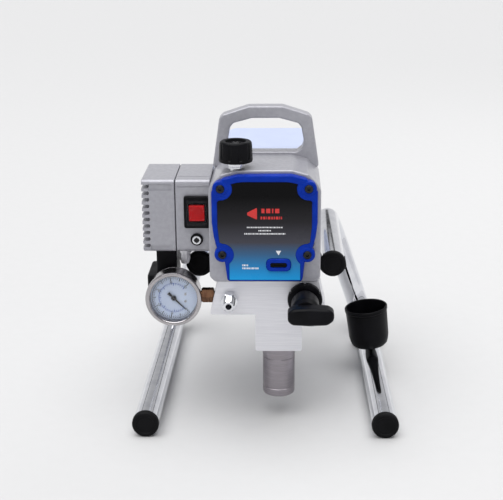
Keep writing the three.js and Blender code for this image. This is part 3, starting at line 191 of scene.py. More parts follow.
def quarter(radius: float, along: float, size: float, outwards: bool, steps: int = 5) -> list[Flat]:
    """A rounded shoulder in a turned profile.

    Args:
        radius: the full radius the shoulder reaches.
        along: where the shoulder meets the end face.
        size: the shoulder's radius; a negative one runs back towards lower places.
        outwards: True from the face out to the rim, False from the rim in to the face.
        steps: how many short sides it has.

    Returns:
        Profile points of (radius, along).
    """
    made = []
    for s in range(steps + 1):
        a = pi / 2 * s / steps
        made.append((radius - abs(size) * (1 - sin(a)), along + size * (1 - cos(a))))
    return made if outwards else made[::-1]


# ---------- shaping ----------


class Shaper:
    """One mesh, shaped in edit mode in millimetres, with Y counted from the front of the feet."""

    origin = Vector((0.0, 0.0, 0.0))

    def __init__(self, name: str) -> None:
        """Starts an empty mesh and enters edit mode."""
        self.solid()
        bpy.ops.object.select_all(action="DESELECT")
        bpy.ops.object.add(type="MESH", location=(0, 0, 0))
        self.piece = bpy.context.object
        self.piece.name = name
        bpy.ops.object.mode_set(mode="EDIT")
        bpy.ops.mesh.select_mode(type="VERT")

    def draw(self, outline: list[Flat], axis: Axis, along: float) -> None:
        """Draws a filled outline across an axis, left selected.

        Args:
            outline: the outline's places.
            axis: the axis it stands across.
            along: its place on that axis.
        """
        spots = [axis.point(a, b, along) for a, b in outline]
        bpy.ops.mesh.select_all(action="DESELECT")
        bpy.ops.mesh.primitive_plane_add(size=1.0, location=spots[0])
        bpy.ops.mesh.merge(type="CENTER")
        for here, there in zip(spots, spots[1:]):
            bpy.ops.mesh.extrude_vertices_move(TRANSFORM_OT_translate={"value": there - here})
        bpy.ops.mesh.select_linked()
        bpy.ops.mesh.edge_face_add()

    def push(self, outline: list[Flat], axis: Axis, start: float, end: float) -> "Shaper":
        """A solid pushed from an outline.

        Args:
            outline: the outline's places.
            axis: the axis it is pushed along.
            start: where it starts.
            end: where it ends.

        Returns:
            This shaper.
        """
        self.draw(outline, axis, start)
        bpy.ops.mesh.extrude_region_move(TRANSFORM_OT_translate={"value": axis.way(end - start)})
        return self

    def block(self, x0: float, x1: float, y0: float, y1: float, z0: float, z1: float) -> "Shaper":
        """A plain block between two corners.

        Args:
            x0: its left side.
            x1: its right side.
            y0: its front.
            y1: its back.
            z0: its foot.
            z1: its top.

        Returns:
            This shaper.
        """
        return self.push(rectangle(x0, x1, y0, y1), Axis.Z, z0, z1)

    def turned(self, axis: Axis, profile: list[Flat], at: Flat, sides: int = 48) -> "Shaper":
        """A solid of revolution.

        Args:
            axis: the axis it is turned about.
            profile: places of (radius, along); the first and last alike make a hollow ring.
            at: the axis's flat place.
            sides: how many sides the round has.

        Returns:
            This shaper.
        """
        hollow = profile[0] == profile[-1]
        bpy.ops.mesh.select_all(action="DESELECT")
        bpy.ops.mesh.primitive_circle_add(
            vertices=sides,
            radius=profile[0][0],
            fill_type="NOTHING" if hollow else "NGON",
            location=axis.point(*at, profile[0][1]),
            rotation=axis.turn(),
        )
        for (r0, a0), (r1, a1) in zip(profile, profile[1:]):
            bpy.ops.mesh.extrude_region_move(TRANSFORM_OT_translate={"value": axis.way(a1 - a0)})
            if abs(r1 - r0) > 1e-6:
                grow = r1 / r0
                bpy.ops.transform.resize(value=(grow, grow, grow), center_override=axis.point(*at, a1))
        bpy.ops.mesh.select_linked()
        bpy.ops.mesh.remove_doubles(threshold=0.0005)
        return self

    def rod(
        self, axis: Axis, radius: float, start: float, end: float, at: Flat, sides: int = 40,
        soft: float = 0.0
    ) -> "Shaper":
        """A plain rod, with rounded ends when soft is given.

        Args:
            axis: the axis it lies along.
            radius: its radius.
            start: where it starts.
            end: where it ends.
            at: the axis's flat place.
            sides: how many sides the round has.
            soft: the radius its ends are rounded by.

        Returns:
            This shaper.
        """
        profile = [(radius, start), (radius, end)]
        if soft:
            profile = quarter(radius, start, soft, True, 4) + quarter(radius, end, -soft, False, 4)
        return self.turned(axis, profile, at, sides)

    def solid(self) -> "Shaper":
        """Leaves edit mode, whichever piece was open, with every face pointing outwards.

        Returns:
            This shaper.
        """
        if bpy.context.mode == "EDIT_MESH":
            bpy.ops.mesh.select_all(action="SELECT")
            bpy.ops.mesh.normals_make_consistent(inside=False)
            bpy.ops.object.mode_set(mode="OBJECT")
        return self

    def only(self) -> None:
        """Makes this piece the one that object operators act on."""
        bpy.ops.object.select_all(action="DESELECT")
        self.piece.select_set(True)
        bpy.context.view_layer.objects.active = self.piece

    def soften(self, width: float, segments: int = 3, angle: float = 28.0) -> "Shaper":
        """Rounds every edge that turns by more than an angle.

        Args:
            width: the rounding's width.
            segments: how many steps it has.
            angle: the least turn, in degrees.

        Returns:
            This shaper.
        """
        self.solid()
        self.only()
        bevel = self.piece.modifiers.new("soften", "BEVEL")
        bevel.width = width
        bevel.segments = segments
        bevel.limit_method = "ANGLE"
        bevel.angle_limit = radians(angle)
        bevel.use_clamp_overlap = True
        bevel.harden_normals = False
        bpy.ops.object.modifier_apply(modifier="soften")
        return self

    def combine(self, other: "Shaper", how: str) -> "Shaper":
        """Joins, cuts or crops with another solid, which is used up.

        Args:
            other: the other solid.
            how: UNION, DIFFERENCE or INTERSECT.

        Returns:
            This shaper.
        """
        self.solid()
        other.solid()
        self.only()
        step = self.piece.modifiers.new("combine", "BOOLEAN")
        step.operation = how
        step.solver = "EXACT"
        step.object = other.piece
        bpy.ops.object.modifier_apply(modifier="combine")
        bpy.data.objects.remove(other.piece)
        return self

    def less(self, *tools: "Shaper") -> "Shaper":
        """Cuts other solids away.

        Args:
            tools: the solids, which are used up.

        Returns:
            This shaper.
        """
        for tool in tools:
            self.combine(tool, "DIFFERENCE")
        return self

    def plus(self, *others: "Shaper") -> "Shaper":
        """Joins other solids on.

        Args:
            others: the solids, which are used up.

        Returns:
            This shaper.
        """
        for other in others:
            self.combine(other, "UNION")
        return self

    def copied(self, name: str, by: Vector) -> "Shaper":
        """A copy with its own mesh, moved along.

        Args:
            name: the copy's name.
            by: how far it moves.

        Returns:
            The copy's shaper.
        """
        self.solid()
        self.only()
        bpy.ops.object.duplicate(linked=False)
        twin = Shaper.__new__(Shaper)
        twin.piece = bpy.context.object
        twin.piece.name = name
        twin.place(at=by)
        return twin

    def place(
        self, turn: Point = (0.0, 0.0, 0.0), at: Vector = Vector((0.0, 0.0, 0.0)), scale: float = 1.0
    ) -> "Shaper":
        """Turns, scales and moves the mesh about the frame's own origin.

        Args:
            turn: its turn about each axis, in radians.
            at: how far it moves.
            scale: how much it grows.

        Returns:
            This shaper.
        """
        self.solid()
        self.only()
        self.piece.rotation_euler = turn
        self.piece.location = at
        self.piece.scale = (scale, scale, scale)
        bpy.ops.object.transform_apply(location=True, rotation=True, scale=True)
        return self

    def done(
        self, body: str, material: bpy.types.Material, slot: str, nodes: tuple[str, ...] = (),
        angle: float = 32.0
    ) -> bpy.types.Object:
        """Finishes the piece in metres, gives it its body and finish, and hides the CAD nodes it stands for.

        Args:
            body: the CAD body it rides on.
            material: its finish.
            slot: the record's material slot; not used.
            nodes: the CAD nodes it stands for.
            angle: the turn past which an edge stays sharp, in degrees.

        Returns:
            The finished object.
        """
        self.place(at=Shaper.origin, scale=MM)
        bpy.ops.object.shade_smooth_by_angle(angle=radians(angle))
        even = self.piece.modifiers.new("even", "WEIGHTED_NORMAL")
        even.keep_sharp = True
        bpy.ops.object.modifier_apply(modifier="even")
        self.piece.data.materials.clear()
        self.piece.data.materials.append(material)
        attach(self.piece, body)
        if nodes:
            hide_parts(*nodes)
        log.info(
            "made %s for %s: %d faces", self.piece.name, ", ".join(nodes) or "trim",
            len(self.piece.data.polygons)
        )
        return self.piece


# ---------- finishes ----------

Node = bpy.types.Node
Socket = bpy.types.NodeSocket
Colour = tuple[float, float, float]


def link(tree: bpy.types.NodeTree, source: Socket, target: Socket) -> None:
    """Joins one socket to another."""
    tree.links.new(source, target)


def noise(
    tree: bpy.types.NodeTree, place: Socket, scale: float, detail: float = 4.0, rough: float = 0.55
) -> Socket:
    """A noise pattern on the given coordinates.

    Args:
        tree: the node tree.
        place: the coordinates.
        scale: cells per metre, more or less.
        detail: how many finer layers it has.
        rough: how strong the finer layers are.

    Returns:
        The noise's factor.
    """
    made = tree.nodes.new("ShaderNodeTexNoise")
    made.inputs["Scale"].default_value = scale
    made.inputs["Detail"].default_value = detail
    made.inputs["Roughness"].default_value = rough
    link(tree, place, made.inputs["Vector"])
    return made.outputs["Fac"]


def stretched(
    tree: bpy.types.NodeTree, place: Socket, scale: Point, centre: Point = (0.0, 0.0, 0.0)
) -> Socket:
    """Coordinates moved to a centre and stretched along the axes.

    Args:
        tree: the node tree.
        place: the coordinates.
        scale: the stretch along each axis.
        centre: the centre.

    Returns:
        The new coordinates.
    """
    made = tree.nodes.new("ShaderNodeMapping")
    made.vector_type = "TEXTURE"
    made.inputs["Location"].default_value = centre
    made.inputs["Scale"].default_value = tuple(1.0 / s for s in scale)
    link(tree, place, made.inputs["Vector"])
    return made.outputs["Vector"]


def ranged(
    tree: bpy.types.NodeTree, value: Socket, low: float, high: float, to_low: float, to_high: float
) -> Socket:
    """A value mapped from one range to another and held within it.

    Args:
        tree: the node tree.
        value: the value.
        low: the first range's start.
        high: the first range's end.
        to_low: the second range's start.
        to_high: the second range's end.

    Returns:
        The mapped value.
    """
    made = tree.nodes.new("ShaderNodeMapRange")
    made.clamp = True
    for name, number in (("From Min", low), ("From Max", high), ("To Min", to_low), ("To Max", to_high)):
        made.inputs[name].default_value = number
    link(tree, value, made.inputs["Value"])
    return made.outputs["Result"]


def maths(tree: bpy.types.NodeTree, kind: str, first: Socket, second: Socket | float) -> Socket:
    """Two values put together by one sum.

    Args:
        tree: the node tree.
        kind: the sum's name.
        first: the first value.
        second: the second value, or a plain number.

    Returns:
        The sum's value.
    """
    made = tree.nodes.new("ShaderNodeMath")
    made.operation = kind
    link(tree, first, made.inputs[0])
    if isinstance(second, float):
        made.inputs[1].default_value = second
    else:
        link(tree, second, made.inputs[1])
    return made.outputs[0]


def new_group(
    name: str, takes: dict[str, float], gives: tuple[str, ...]
) -> tuple[bpy.types.NodeTree, Node, Node]:
    """An empty shader group with named sockets.

    Args:
        name: the group's name.
        takes: its number inputs and their usual values.
        gives: its number outputs.

    Returns:
        The group's tree, its input node and its output node.
    """
    tree = bpy.data.node_groups.new(name, "ShaderNodeTree")
    tree.interface.new_socket("Place", in_out="INPUT", socket_type="NodeSocketVector")
    for key, value in takes.items():
        tree.interface.new_socket(key, in_out="INPUT", socket_type="NodeSocketFloat").default_value = value
    for key in gives:
        tree.interface.new_socket(key, in_out="OUTPUT", socket_type="NodeSocketFloat")
    return tree, tree.nodes.new("NodeGroupInput"), tree.nodes.new("NodeGroupOutput")


def handling_group() -> bpy.types.NodeTree:
    """Smudges, fine scratches and settled dust, shared by every finish.

    Returns:
        A group with a roughness share, a dust mask and a scratch height.
    """
    tree, takes, gives = new_group(
        "Handling", {"Smudge": 0.5, "Dust": 0.3, "Scratch": 0.5}, ("Roughness", "Dust", "Height")
    )
    place = takes.outputs["Place"]
    wide = ranged(tree, noise(tree, place, 14.0, 5.0, 0.6), 0.42, 0.66, 0.0, 1.0)
    fine = ranged(tree, noise(tree, place, 95.0, 3.0), 0.4, 0.7, 0.0, 1.0)
    smudge = maths(
        tree, "MULTIPLY",
        maths(tree, "ADD", maths(tree, "MULTIPLY", wide, 0.7), maths(tree, "MULTIPLY", fine, 0.3)),
        takes.outputs["Smudge"]
    )
    link(tree, smudge, gives.inputs["Roughness"])
    facing = tree.nodes.new("ShaderNodeNewGeometry")
    split = tree.nodes.new("ShaderNodeSeparateXYZ")
    link(tree, facing.outputs["Normal"], split.inputs[0])
    upward = ranged(tree, split.outputs["Z"], 0.5, 1.0, 0.0, 1.0)
    speck = ranged(tree, noise(tree, place, 420.0, 2.0), 0.45, 0.75, 0.15, 1.0)
    dust = maths(tree, "MULTIPLY", maths(tree, "MULTIPLY", upward, speck), takes.outputs["Dust"])
    link(tree, dust, gives.inputs["Dust"])
    lines = noise(tree, stretched(tree, place, (30.0, 900.0, 160.0)), 1.0, 2.0)
    cross = noise(tree, stretched(tree, place, (700.0, 60.0, 90.0)), 1.0, 2.0)
    mark = maths(
        tree, "MULTIPLY", ranged(tree, maths(tree, "MAXIMUM", lines, cross), 0.68, 0.76, 0.0, 1.0),
        takes.outputs["Scratch"]
    )
    link(tree, mark, gives.inputs["Height"])
    return tree


def texture_group() -> bpy.types.NodeTree:
    """The moulded or cast skin of a surface.

    Returns:
        A group with a skin height and a colour mottle.
    """
    tree, takes, gives = new_group("Skin", {"Cells": 1800.0, "Wave": 60.0}, ("Height", "Mottle"))
    place = takes.outputs["Place"]
    cells = tree.nodes.new("ShaderNodeTexVoronoi")
    cells.feature = "SMOOTH_F1"
    link(tree, place, cells.inputs["Vector"])
    link(tree, takes.outputs["Cells"], cells.inputs["Scale"])
    wave = tree.nodes.new("ShaderNodeTexNoise")
    wave.inputs["Detail"].default_value = 3.0
    link(tree, place, wave.inputs["Vector"])
    link(tree, takes.outputs["Wave"], wave.inputs["Scale"])
    link(
        tree,
        maths(
            tree, "ADD", maths(tree, "MULTIPLY", cells.outputs["Distance"], 0.6),
            maths(tree, "MULTIPLY", wave.outputs["Fac"], 0.8)
        ),
        gives.inputs["Height"]
    )
    link(tree, ranged(tree, wave.outputs["Fac"], 0.35, 0.65, 0.0, 1.0), gives.inputs["Mottle"])
    return tree


def brushing_group() -> bpy.types.NodeTree:
    """Long machining lines along one direction.

    Returns:
        A group with a line height and a line shade.
    """
    tree, takes, gives = new_group("Machining", {"Depth": 1.0}, ("Height", "Shade"))
    lines = noise(tree, takes.outputs["Place"], 1.0, 4.0, 0.7)
    link(tree, maths(tree, "MULTIPLY", lines, takes.outputs["Depth"]), gives.inputs["Height"])
    link(tree, ranged(tree, lines, 0.35, 0.65, 0.0, 1.0), gives.inputs["Shade"])
    return tree


@dataclass(frozen=True)
class Finish:
    """One surface finish: its colours, gloss, skin and wear."""

    name: str
    colour: Colour
    mottle: Colour
    metallic: float = 0.0
    rough: float = 0.4
    spread: float = 0.15
    coat: float = 0.0
    cells: float = 1800.0
    wave: float = 60.0
    skin: float = 0.1
    smudge: float = 0.5
    dust: float = 0.2
    scratch: float = 0.3
    lines: Point | None = None
    specular: float = 0.5
    clear: float = 0.0
    alpha: float = 1.0

    def build(self, kit: "Kit") -> bpy.types.Material:
        """Makes the material.

        Args:
            kit: the shared groups.

        Returns:
            The material.
        """
        material = bpy.data.materials.new(self.name)
        material.use_nodes = True
        tree = material.node_tree
        shader = tree.nodes["Principled BSDF"]
        shader.inputs["Metallic"].default_value = self.metallic
        shader.inputs["Coat Weight"].default_value = self.coat
        shader.inputs["Coat Roughness"].default_value = 0.06
        shader.inputs["Specular IOR Level"].default_value = self.specular
        shader.inputs["Transmission Weight"].default_value = self.clear
        if self.alpha < 1.0:
            shader.inputs["Alpha"].default_value = self.alpha
        place = tree.nodes.new("ShaderNodeTexCoord").outputs["Object"]
        handling = kit.placed(
            tree, kit.handling, place, {"Smudge": self.smudge, "Dust": self.dust, "Scratch": self.scratch}
        )
        skin = kit.placed(tree, kit.skin, place, {"Cells": self.cells, "Wave": self.wave})
        mottle, height = skin.outputs["Mottle"], maths(tree, "MULTIPLY", skin.outputs["Height"], self.skin)
        if self.lines:
            brushed = kit.placed(
                tree, kit.machining, stretched(tree, place, self.lines), {"Depth": self.skin * 4.0}
            )
            mottle, height = brushed.outputs["Shade"], maths(tree, "ADD", height, brushed.outputs["Height"])
        base = self.paint(tree, place, mottle)
        dusty = tree.nodes.new("ShaderNodeMix")
        dusty.data_type = "RGBA"
        link(tree, handling.outputs["Dust"], dusty.inputs["Factor"])
        link(tree, base, dusty.inputs["A"])
        dusty.inputs["B"].default_value = DUST
        link(tree, dusty.outputs["Result"], shader.inputs["Base Color"])
        worn = maths(tree, "MULTIPLY", handling.outputs["Roughness"], self.spread)
        base_rough = maths(
            tree, "ADD", maths(tree, "ADD", worn, maths(tree, "MULTIPLY", mottle, self.spread * 0.5)),
            self.rough - self.spread * 0.4
        )
        link(
            tree, maths(tree, "ADD", base_rough, maths(tree, "MULTIPLY", handling.outputs["Dust"], 0.3)),
            shader.inputs["Roughness"]
        )
        bump = tree.nodes.new("ShaderNodeBump")
        bump.inputs["Strength"].default_value = 0.35
        bump.inputs["Distance"].default_value = 0.0004
        link(
            tree,
            maths(tree, "SUBTRACT", height, maths(tree, "MULTIPLY", handling.outputs["Height"], 0.15)),
            bump.inputs["Height"]
        )
        link(tree, bump.outputs["Normal"], shader.inputs["Normal"])
        return material

    def paint(self, tree: bpy.types.NodeTree, place: Socket, mottle: Socket) -> Socket:
        """The colour over the surface, between the two colours by the mottle.

        Args:
            tree: the node tree.
            place: the coordinates.
            mottle: how far each spot lies towards the second colour.

        Returns:
            The colour.
        """
        mix = tree.nodes.new("ShaderNodeMix")
        mix.data_type = "RGBA"
        mix.inputs["A"].default_value = (*self.colour, 1.0)
        mix.inputs["B"].default_value = (*self.mottle, 1.0)
        link(tree, mottle, mix.inputs["Factor"])
        return mix.outputs["Result"]


FADE = (
    (0.0, (0.012, 0.36, 0.80)),
    (0.14, (0.02, 0.24, 0.55)),
    (0.30, (0.045, 0.12, 0.24)),
    (0.42, (0.060, 0.060, 0.074)),
    (0.62, (0.022, 0.021, 0.024)),
    (0.86, (0.003, 0.003, 0.0035)),
)
DUST = (0.42, 0.40, 0.38, 1.0)


@dataclass(frozen=True)
class FadedPanel(Finish):
    """A printed film that fades from black at the top to bright blue at the foot."""

    low: float = 0.18
    high: float = 0.30

    def paint(self, tree: bpy.types.NodeTree, place: Socket, mottle: Socket) -> Socket:
        """The fade up the panel, by the height above the floor.

        Args:
            tree: the node tree.
            place: the coordinates, in metres.
            mottle: not needed here.

        Returns:
            The colour.
        """
        split = tree.nodes.new("ShaderNodeSeparateXYZ")
        link(tree, place, split.inputs[0])
        ramp = tree.nodes.new("ShaderNodeValToRGB")
        for stop, (where, colour) in zip(ramp.color_ramp.elements, (FADE[0], FADE[-1])):
            stop.position, stop.color = where, (*colour, 1.0)
        for where, colour in FADE[1:-1]:
            ramp.color_ramp.elements.new(where).color = (*colour, 1.0)
        link(tree, ranged(tree, split.outputs["Z"], self.low, self.high, 0.0, 1.0), ramp.inputs["Fac"])
        return ramp.outputs["Color"]


class Kit:
    """The shared shader groups and every finish of the machine."""

    def __init__(self) -> None:
        """Builds the groups once and then each finish."""
        self.handling = handling_group()
        self.skin = texture_group()
        self.machining = brushing_group()
        self.made = {f.name: f.build(self) for f in FINISHES}

    def placed(
        self, tree: bpy.types.NodeTree, group: bpy.types.NodeTree, place: Socket, values: dict[str, float]
    ) -> Node:
        """Puts a shared group into a material with its own values.

        Args:
            tree: the material's node tree.
            group: the shared group.
            place: the coordinates.
            values: the material's own numbers.

        Returns:
            The group's node.
        """
        made = tree.nodes.new("ShaderNodeGroup")
        made.node_tree = group
        link(tree, place, made.inputs["Place"])
        for key, value in values.items():
            made.inputs[key].default_value = value
        return made

    def __getitem__(self, name: str) -> bpy.types.Material:
        """The material of that name."""
        return self.made[name]


FINISHES = (
    Finish(
        "chrome_tube", (0.78, 0.79, 0.82), (0.70, 0.71, 0.75), metallic=1.0, rough=0.05, spread=0.06,
        skin=0.01, dust=0.05, scratch=0.15
    ),
    Finish(
        "rubber", (0.002, 0.002, 0.0026), (0.005, 0.005, 0.006), rough=0.62, spread=0.2, cells=2600.0,
        skin=0.35, dust=0.01, specular=0.12
    ),
    Finish(
        "black_plastic", (0.0018, 0.0018, 0.0028), (0.004, 0.004, 0.0055), rough=0.38, spread=0.2,
        cells=3200.0, skin=0.22, dust=0.004, specular=0.1
    ),
    Finish(
        "cast_housing", (0.37, 0.37, 0.405), (0.335, 0.335, 0.37), metallic=0.3, rough=0.36, spread=0.12,
        coat=0.3, cells=1500.0, wave=220.0, skin=0.28, smudge=0.4, dust=0.06
    ),
    Finish(
        "blue_cover", (0.001, 0.024, 0.30), (0.002, 0.030, 0.35), rough=0.2, spread=0.08, coat=0.07,
        specular=0.05, cells=900.0, wave=90.0, skin=0.05, dust=0.03, scratch=0.2
    ),
    FadedPanel(
        "printed_panel", (0.01, 0.01, 0.012), (0.02, 0.02, 0.03), rough=0.3, spread=0.1, cells=2400.0,
        skin=0.05, dust=0.0, specular=0.08
    ),
    Finish(
        "black_screw", (0.004, 0.004, 0.005), (0.012, 0.012, 0.014), specular=0.3, rough=0.32, spread=0.2,
        skin=0.1, dust=0.04
    ),
    Finish(
        "pump_aluminium", (0.74, 0.74, 0.775), (0.65, 0.65, 0.69), metallic=0.55, rough=0.36, spread=0.14,
        skin=0.05, lines=(26.0, 26.0, 1400.0), dust=0.05
    ),
    Finish(
        "dull_stainless", (0.33, 0.305, 0.33), (0.26, 0.24, 0.26), metallic=0.95, rough=0.34, spread=0.16,
        skin=0.04, lines=(40.0, 40.0, 1800.0), dust=0.05
    ),
    Finish(
        "bright_stainless", (0.50, 0.48, 0.49), (0.38, 0.365, 0.375), metallic=1.0, rough=0.2, spread=0.14,
        skin=0.04, lines=(60.0, 1500.0, 60.0), dust=0.03
    ),
    Finish(
        "machined_steel", (0.55, 0.55, 0.57), (0.42, 0.42, 0.45), metallic=1.0, rough=0.28, spread=0.16,
        skin=0.08, lines=(50.0, 50.0, 1200.0), dust=0.03
    ),
    Finish(
        "chromed_steel", (0.76, 0.77, 0.80), (0.68, 0.69, 0.72), metallic=1.0, rough=0.09, spread=0.1,
        skin=0.02, dust=0.03, scratch=0.2
    ),
    Finish("packing", (0.66, 0.61, 0.49), (0.55, 0.50, 0.40), rough=0.55, spread=0.2, skin=0.3),
    Finish(
        "gear_steel", (0.26, 0.27, 0.29), (0.16, 0.16, 0.18), metallic=1.0, rough=0.3, spread=0.2, skin=0.1,
        lines=(60.0, 900.0, 60.0), dust=0.0
    ),
    Finish(
        "motor_laminations", (0.16, 0.14, 0.13), (0.09, 0.08, 0.075), metallic=0.7, rough=0.45, spread=0.2,
        skin=0.5, lines=(20.0, 1500.0, 20.0), dust=0.0
    ),
    Finish(
        "pale_shroud", (0.46, 0.52, 0.70), (0.48, 0.54, 0.72), rough=0.38, spread=0.12, coat=0.1,
        cells=2600.0, skin=0.12, dust=0.05
    ),
    Finish(
        "brass", (0.20, 0.105, 0.06), (0.10, 0.05, 0.032), metallic=1.0, rough=0.28, spread=0.2, skin=0.08,
        lines=(900.0, 60.0, 60.0), dust=0.03
    ),
    Finish(
        "clear_lens", (0.97, 0.985, 1.0), (0.95, 0.97, 1.0), rough=0.03, spread=0.03, skin=0.0, dust=0.0,
        clear=1.0, alpha=0.25
    ),
    Finish(
        "gauge_face", (0.60, 0.68, 0.83), (0.57, 0.65, 0.81), rough=0.42, spread=0.1, cells=4000.0,
        skin=0.05, dust=0.0
    ),
    Finish(
        "gauge_needle", (0.008, 0.008, 0.010), (0.012, 0.012, 0.015), rough=0.35, spread=0.1, skin=0.05,
        dust=0.0
    ),
    Finish(
        "circuit_board", (0.02, 0.13, 0.05), (0.03, 0.17, 0.07), rough=0.4, spread=0.2, skin=0.3, dust=0.05
    ),
    Finish(
        "red_rocker", (0.50, 0.004, 0.006), (0.44, 0.003, 0.005), rough=0.3, spread=0.1, coat=0.05,
        specular=0.1, skin=0.05, dust=0.02
    ),
    Finish(
        "red_print", (0.62, 0.02, 0.018), (0.58, 0.02, 0.018), rough=0.3, spread=0.08, skin=0.02, dust=0.0
    ),
    Finish(
        "white_print", (0.80, 0.81, 0.84), (0.76, 0.77, 0.80), rough=0.35, spread=0.08, skin=0.02, dust=0.0
    ),
    Finish(
        "blue_print", (0.02, 0.09, 0.42), (0.02, 0.08, 0.38), rough=0.35, spread=0.08, skin=0.02, dust=0.0
    ),
    Finish(
        "clear_boot", (0.30, 0.30, 0.32), (0.26, 0.26, 0.28), rough=0.14, spread=0.1, skin=0.05, dust=0.0,
        alpha=0.015
    ),
    Finish(
        "studio_floor", (0.56, 0.56, 0.562), (0.555, 0.555, 0.557), rough=0.7, spread=0.05, cells=300.0,
        skin=0.02, dust=0.0, smudge=0.1, scratch=0.0
    ),
)


# ---------- sub-assemblies ----------

X, Y, Z = Axis


@dataclass
class Stand:
    """Two bent chrome tubes with black plugs, the saddles that hold the housing, and the drip cup."""

    kit: Kit
    tube: float = 15.0
    wall: float = 1.8
    bend: float = 45.0
    bend_steps: int = 22
    sides: int = 56
    plug: float = 15.8
    foot_x: float = 140.0
    toe_in: float = 3.0
    arm_x: float = 81.0
    upright_y: float = 348.0
    arm_z: float = 177.0
    arm_front: float = 110.0
    lip: float = 8.0
    cup_radius: float = 28.0
    cup_height: float = 54.0
    cup_y: float = 205.0
    cup_tilt: float = 7.0
    drop: float = 0.8

    def build(self) -> None:
        """Makes both legs with their plugs and saddles, then the cup."""
        for side, word in ((-1, "left"), (1, "right")):
            self.leg(side, word)
            self.cap(side * self.foot_x, 0.0, self.plug, f"{word}_foot_plug")
            self.cap(side * self.arm_x, self.arm_front, self.arm_z, f"{word}_arm_plug")
            self.saddle(side, word)
        self.cup()

    def leg(self, side: int, word: str) -> None:
        """One leg: a round pushed along the runner, spun round two bends and pushed on to the arm's end.

        Args:
            side: -1 for the left leg, 1 for the right.
            word: left or right.
        """
        corners = [
            Vector((side * self.foot_x, self.lip + GAP, self.plug)),
            Vector((side * (self.foot_x - self.toe_in), self.upright_y, self.tube)),
            Vector((side * self.arm_x, self.upright_y, self.arm_z)),
            Vector((side * self.arm_x, self.arm_front + self.lip + GAP, self.arm_z)),
        ]
        shape = Shaper(f"{word}_leg")
        along = (corners[1] - corners[0]).normalized()
        bpy.ops.mesh.primitive_circle_add(
            vertices=self.sides, radius=self.tube, location=corners[0],
            rotation=along.to_track_quat("Z", "Y").to_euler()
        )
        here = corners[0]
        for i in (1, 2):
            back, ahead = (
                corners[i - 1] - corners[i]
            ).normalized(), (corners[i + 1] - corners[i]).normalized()
            half = back.angle(ahead) / 2
            start = corners[i] + back * (self.bend / tan(half))
            end = corners[i] + ahead * (self.bend / tan(half))
            centre = corners[i] + (back + ahead).normalized() * (self.bend / sin(half))
            bpy.ops.mesh.extrude_region_move(TRANSFORM_OT_translate={"value": start - here})
            axis = back.cross(ahead).normalized()
            bpy.ops.mesh.spin(steps=self.bend_steps, angle=pi - 2 * half, center=centre, axis=axis)
            here = end
        bpy.ops.mesh.extrude_region_move(TRANSFORM_OT_translate={"value": corners[3] - here})
        shape.solid()
        shape.only()
        inner = shape.piece.modifiers.new("wall", "SOLIDIFY")
        inner.thickness = self.wall
        inner.offset = -1.0
        bpy.ops.object.modifier_apply(modifier="wall")
        shape.done("frame", self.kit["chrome_tube"], "chrome_tube", (f"{word}_leg_tube",), 50.0)

    def cap(self, x: float, front: float, z: float, node: str) -> None:
        """One tube plug: a softly rounded head with a shallow dished face and a ribbed spigot.

        Args:
            x: its middle across.
            front: the place of its front.
            z: its middle's height.
            node: the CAD node it stands for.
        """
        head = self.plug
        profile = [(3.2, front + 0.9), (head - 5.5, front + 0.9), (head - 4.6, front + 0.15)]
        profile += [
            (head - 2.8 + 2.8 * sin(a), front + 2.8 - 2.8 * cos(a))
            for a in (0.0, 0.3, 0.6, 0.9, 1.2, pi / 2)
        ]
        profile += [(head, front + self.lip - 0.6), (head - 0.6, front + self.lip), (12.7, front + self.lip)]
        profile += [
            (12.7, front + 14), (12.2, front + 14.6), (12.7, front + 15.2), (12.7, front + 29),
            (11.7, front + 30)
        ]
        shape = Shaper(node.replace("plug", "end_cap")).turned(Y, profile, (x, z), 56)
        shape.done("frame", self.kit["rubber"], "rubber", (node,))

    def saddle(self, side: int, word: str) -> None:
        """The saddle under an arm, with its ear under the housing and a round lug in front.

        Args:
            side: -1 for the left arm, 1 for the right.
            word: left or right.
        """
        front, back = self.arm_front + self.lip + 2.0, self.arm_front + self.lip + 38.0
        x, outer = side * self.arm_x, self.tube + 2.55
        under = Shaper("under").rod(Y, outer, front, back, (x, self.arm_z), 64)
        under.combine(
            Shaper("lower").block(x - 20, x + 20, front - 1, back + 1, self.arm_z - 20, self.arm_z - 4),
            "INTERSECT"
        )
        ear = Shaper("ear").block(
            min(x, side * 49.5), max(x, side * 49.5), front, back, 168.65, 179.65
        ).soften(1.4, 3)
        lug = Shaper("lug").rod(Y, 5.0, front - 1.6, front + 5, (side * 60.2, 174.45), 32, 1.0)
        hole = Shaper("hole").rod(Y, self.tube + GAP, front - 4, back + 2, (x, self.arm_z), 64)
        bolt = Shaper("bolt").push(
            polygon(6, 5.2, side * 56.5, (front + back) / 2), Z, 165.0, 170.0
        ).soften(0.5, 2)
        whole = under.plus(ear, lug, bolt).less(hole)
        whole.piece.name = f"{word}_saddle"
        whole.done("frame", self.kit["black_plastic"], "black_plastic", (f"{word}_arm_clamp",))

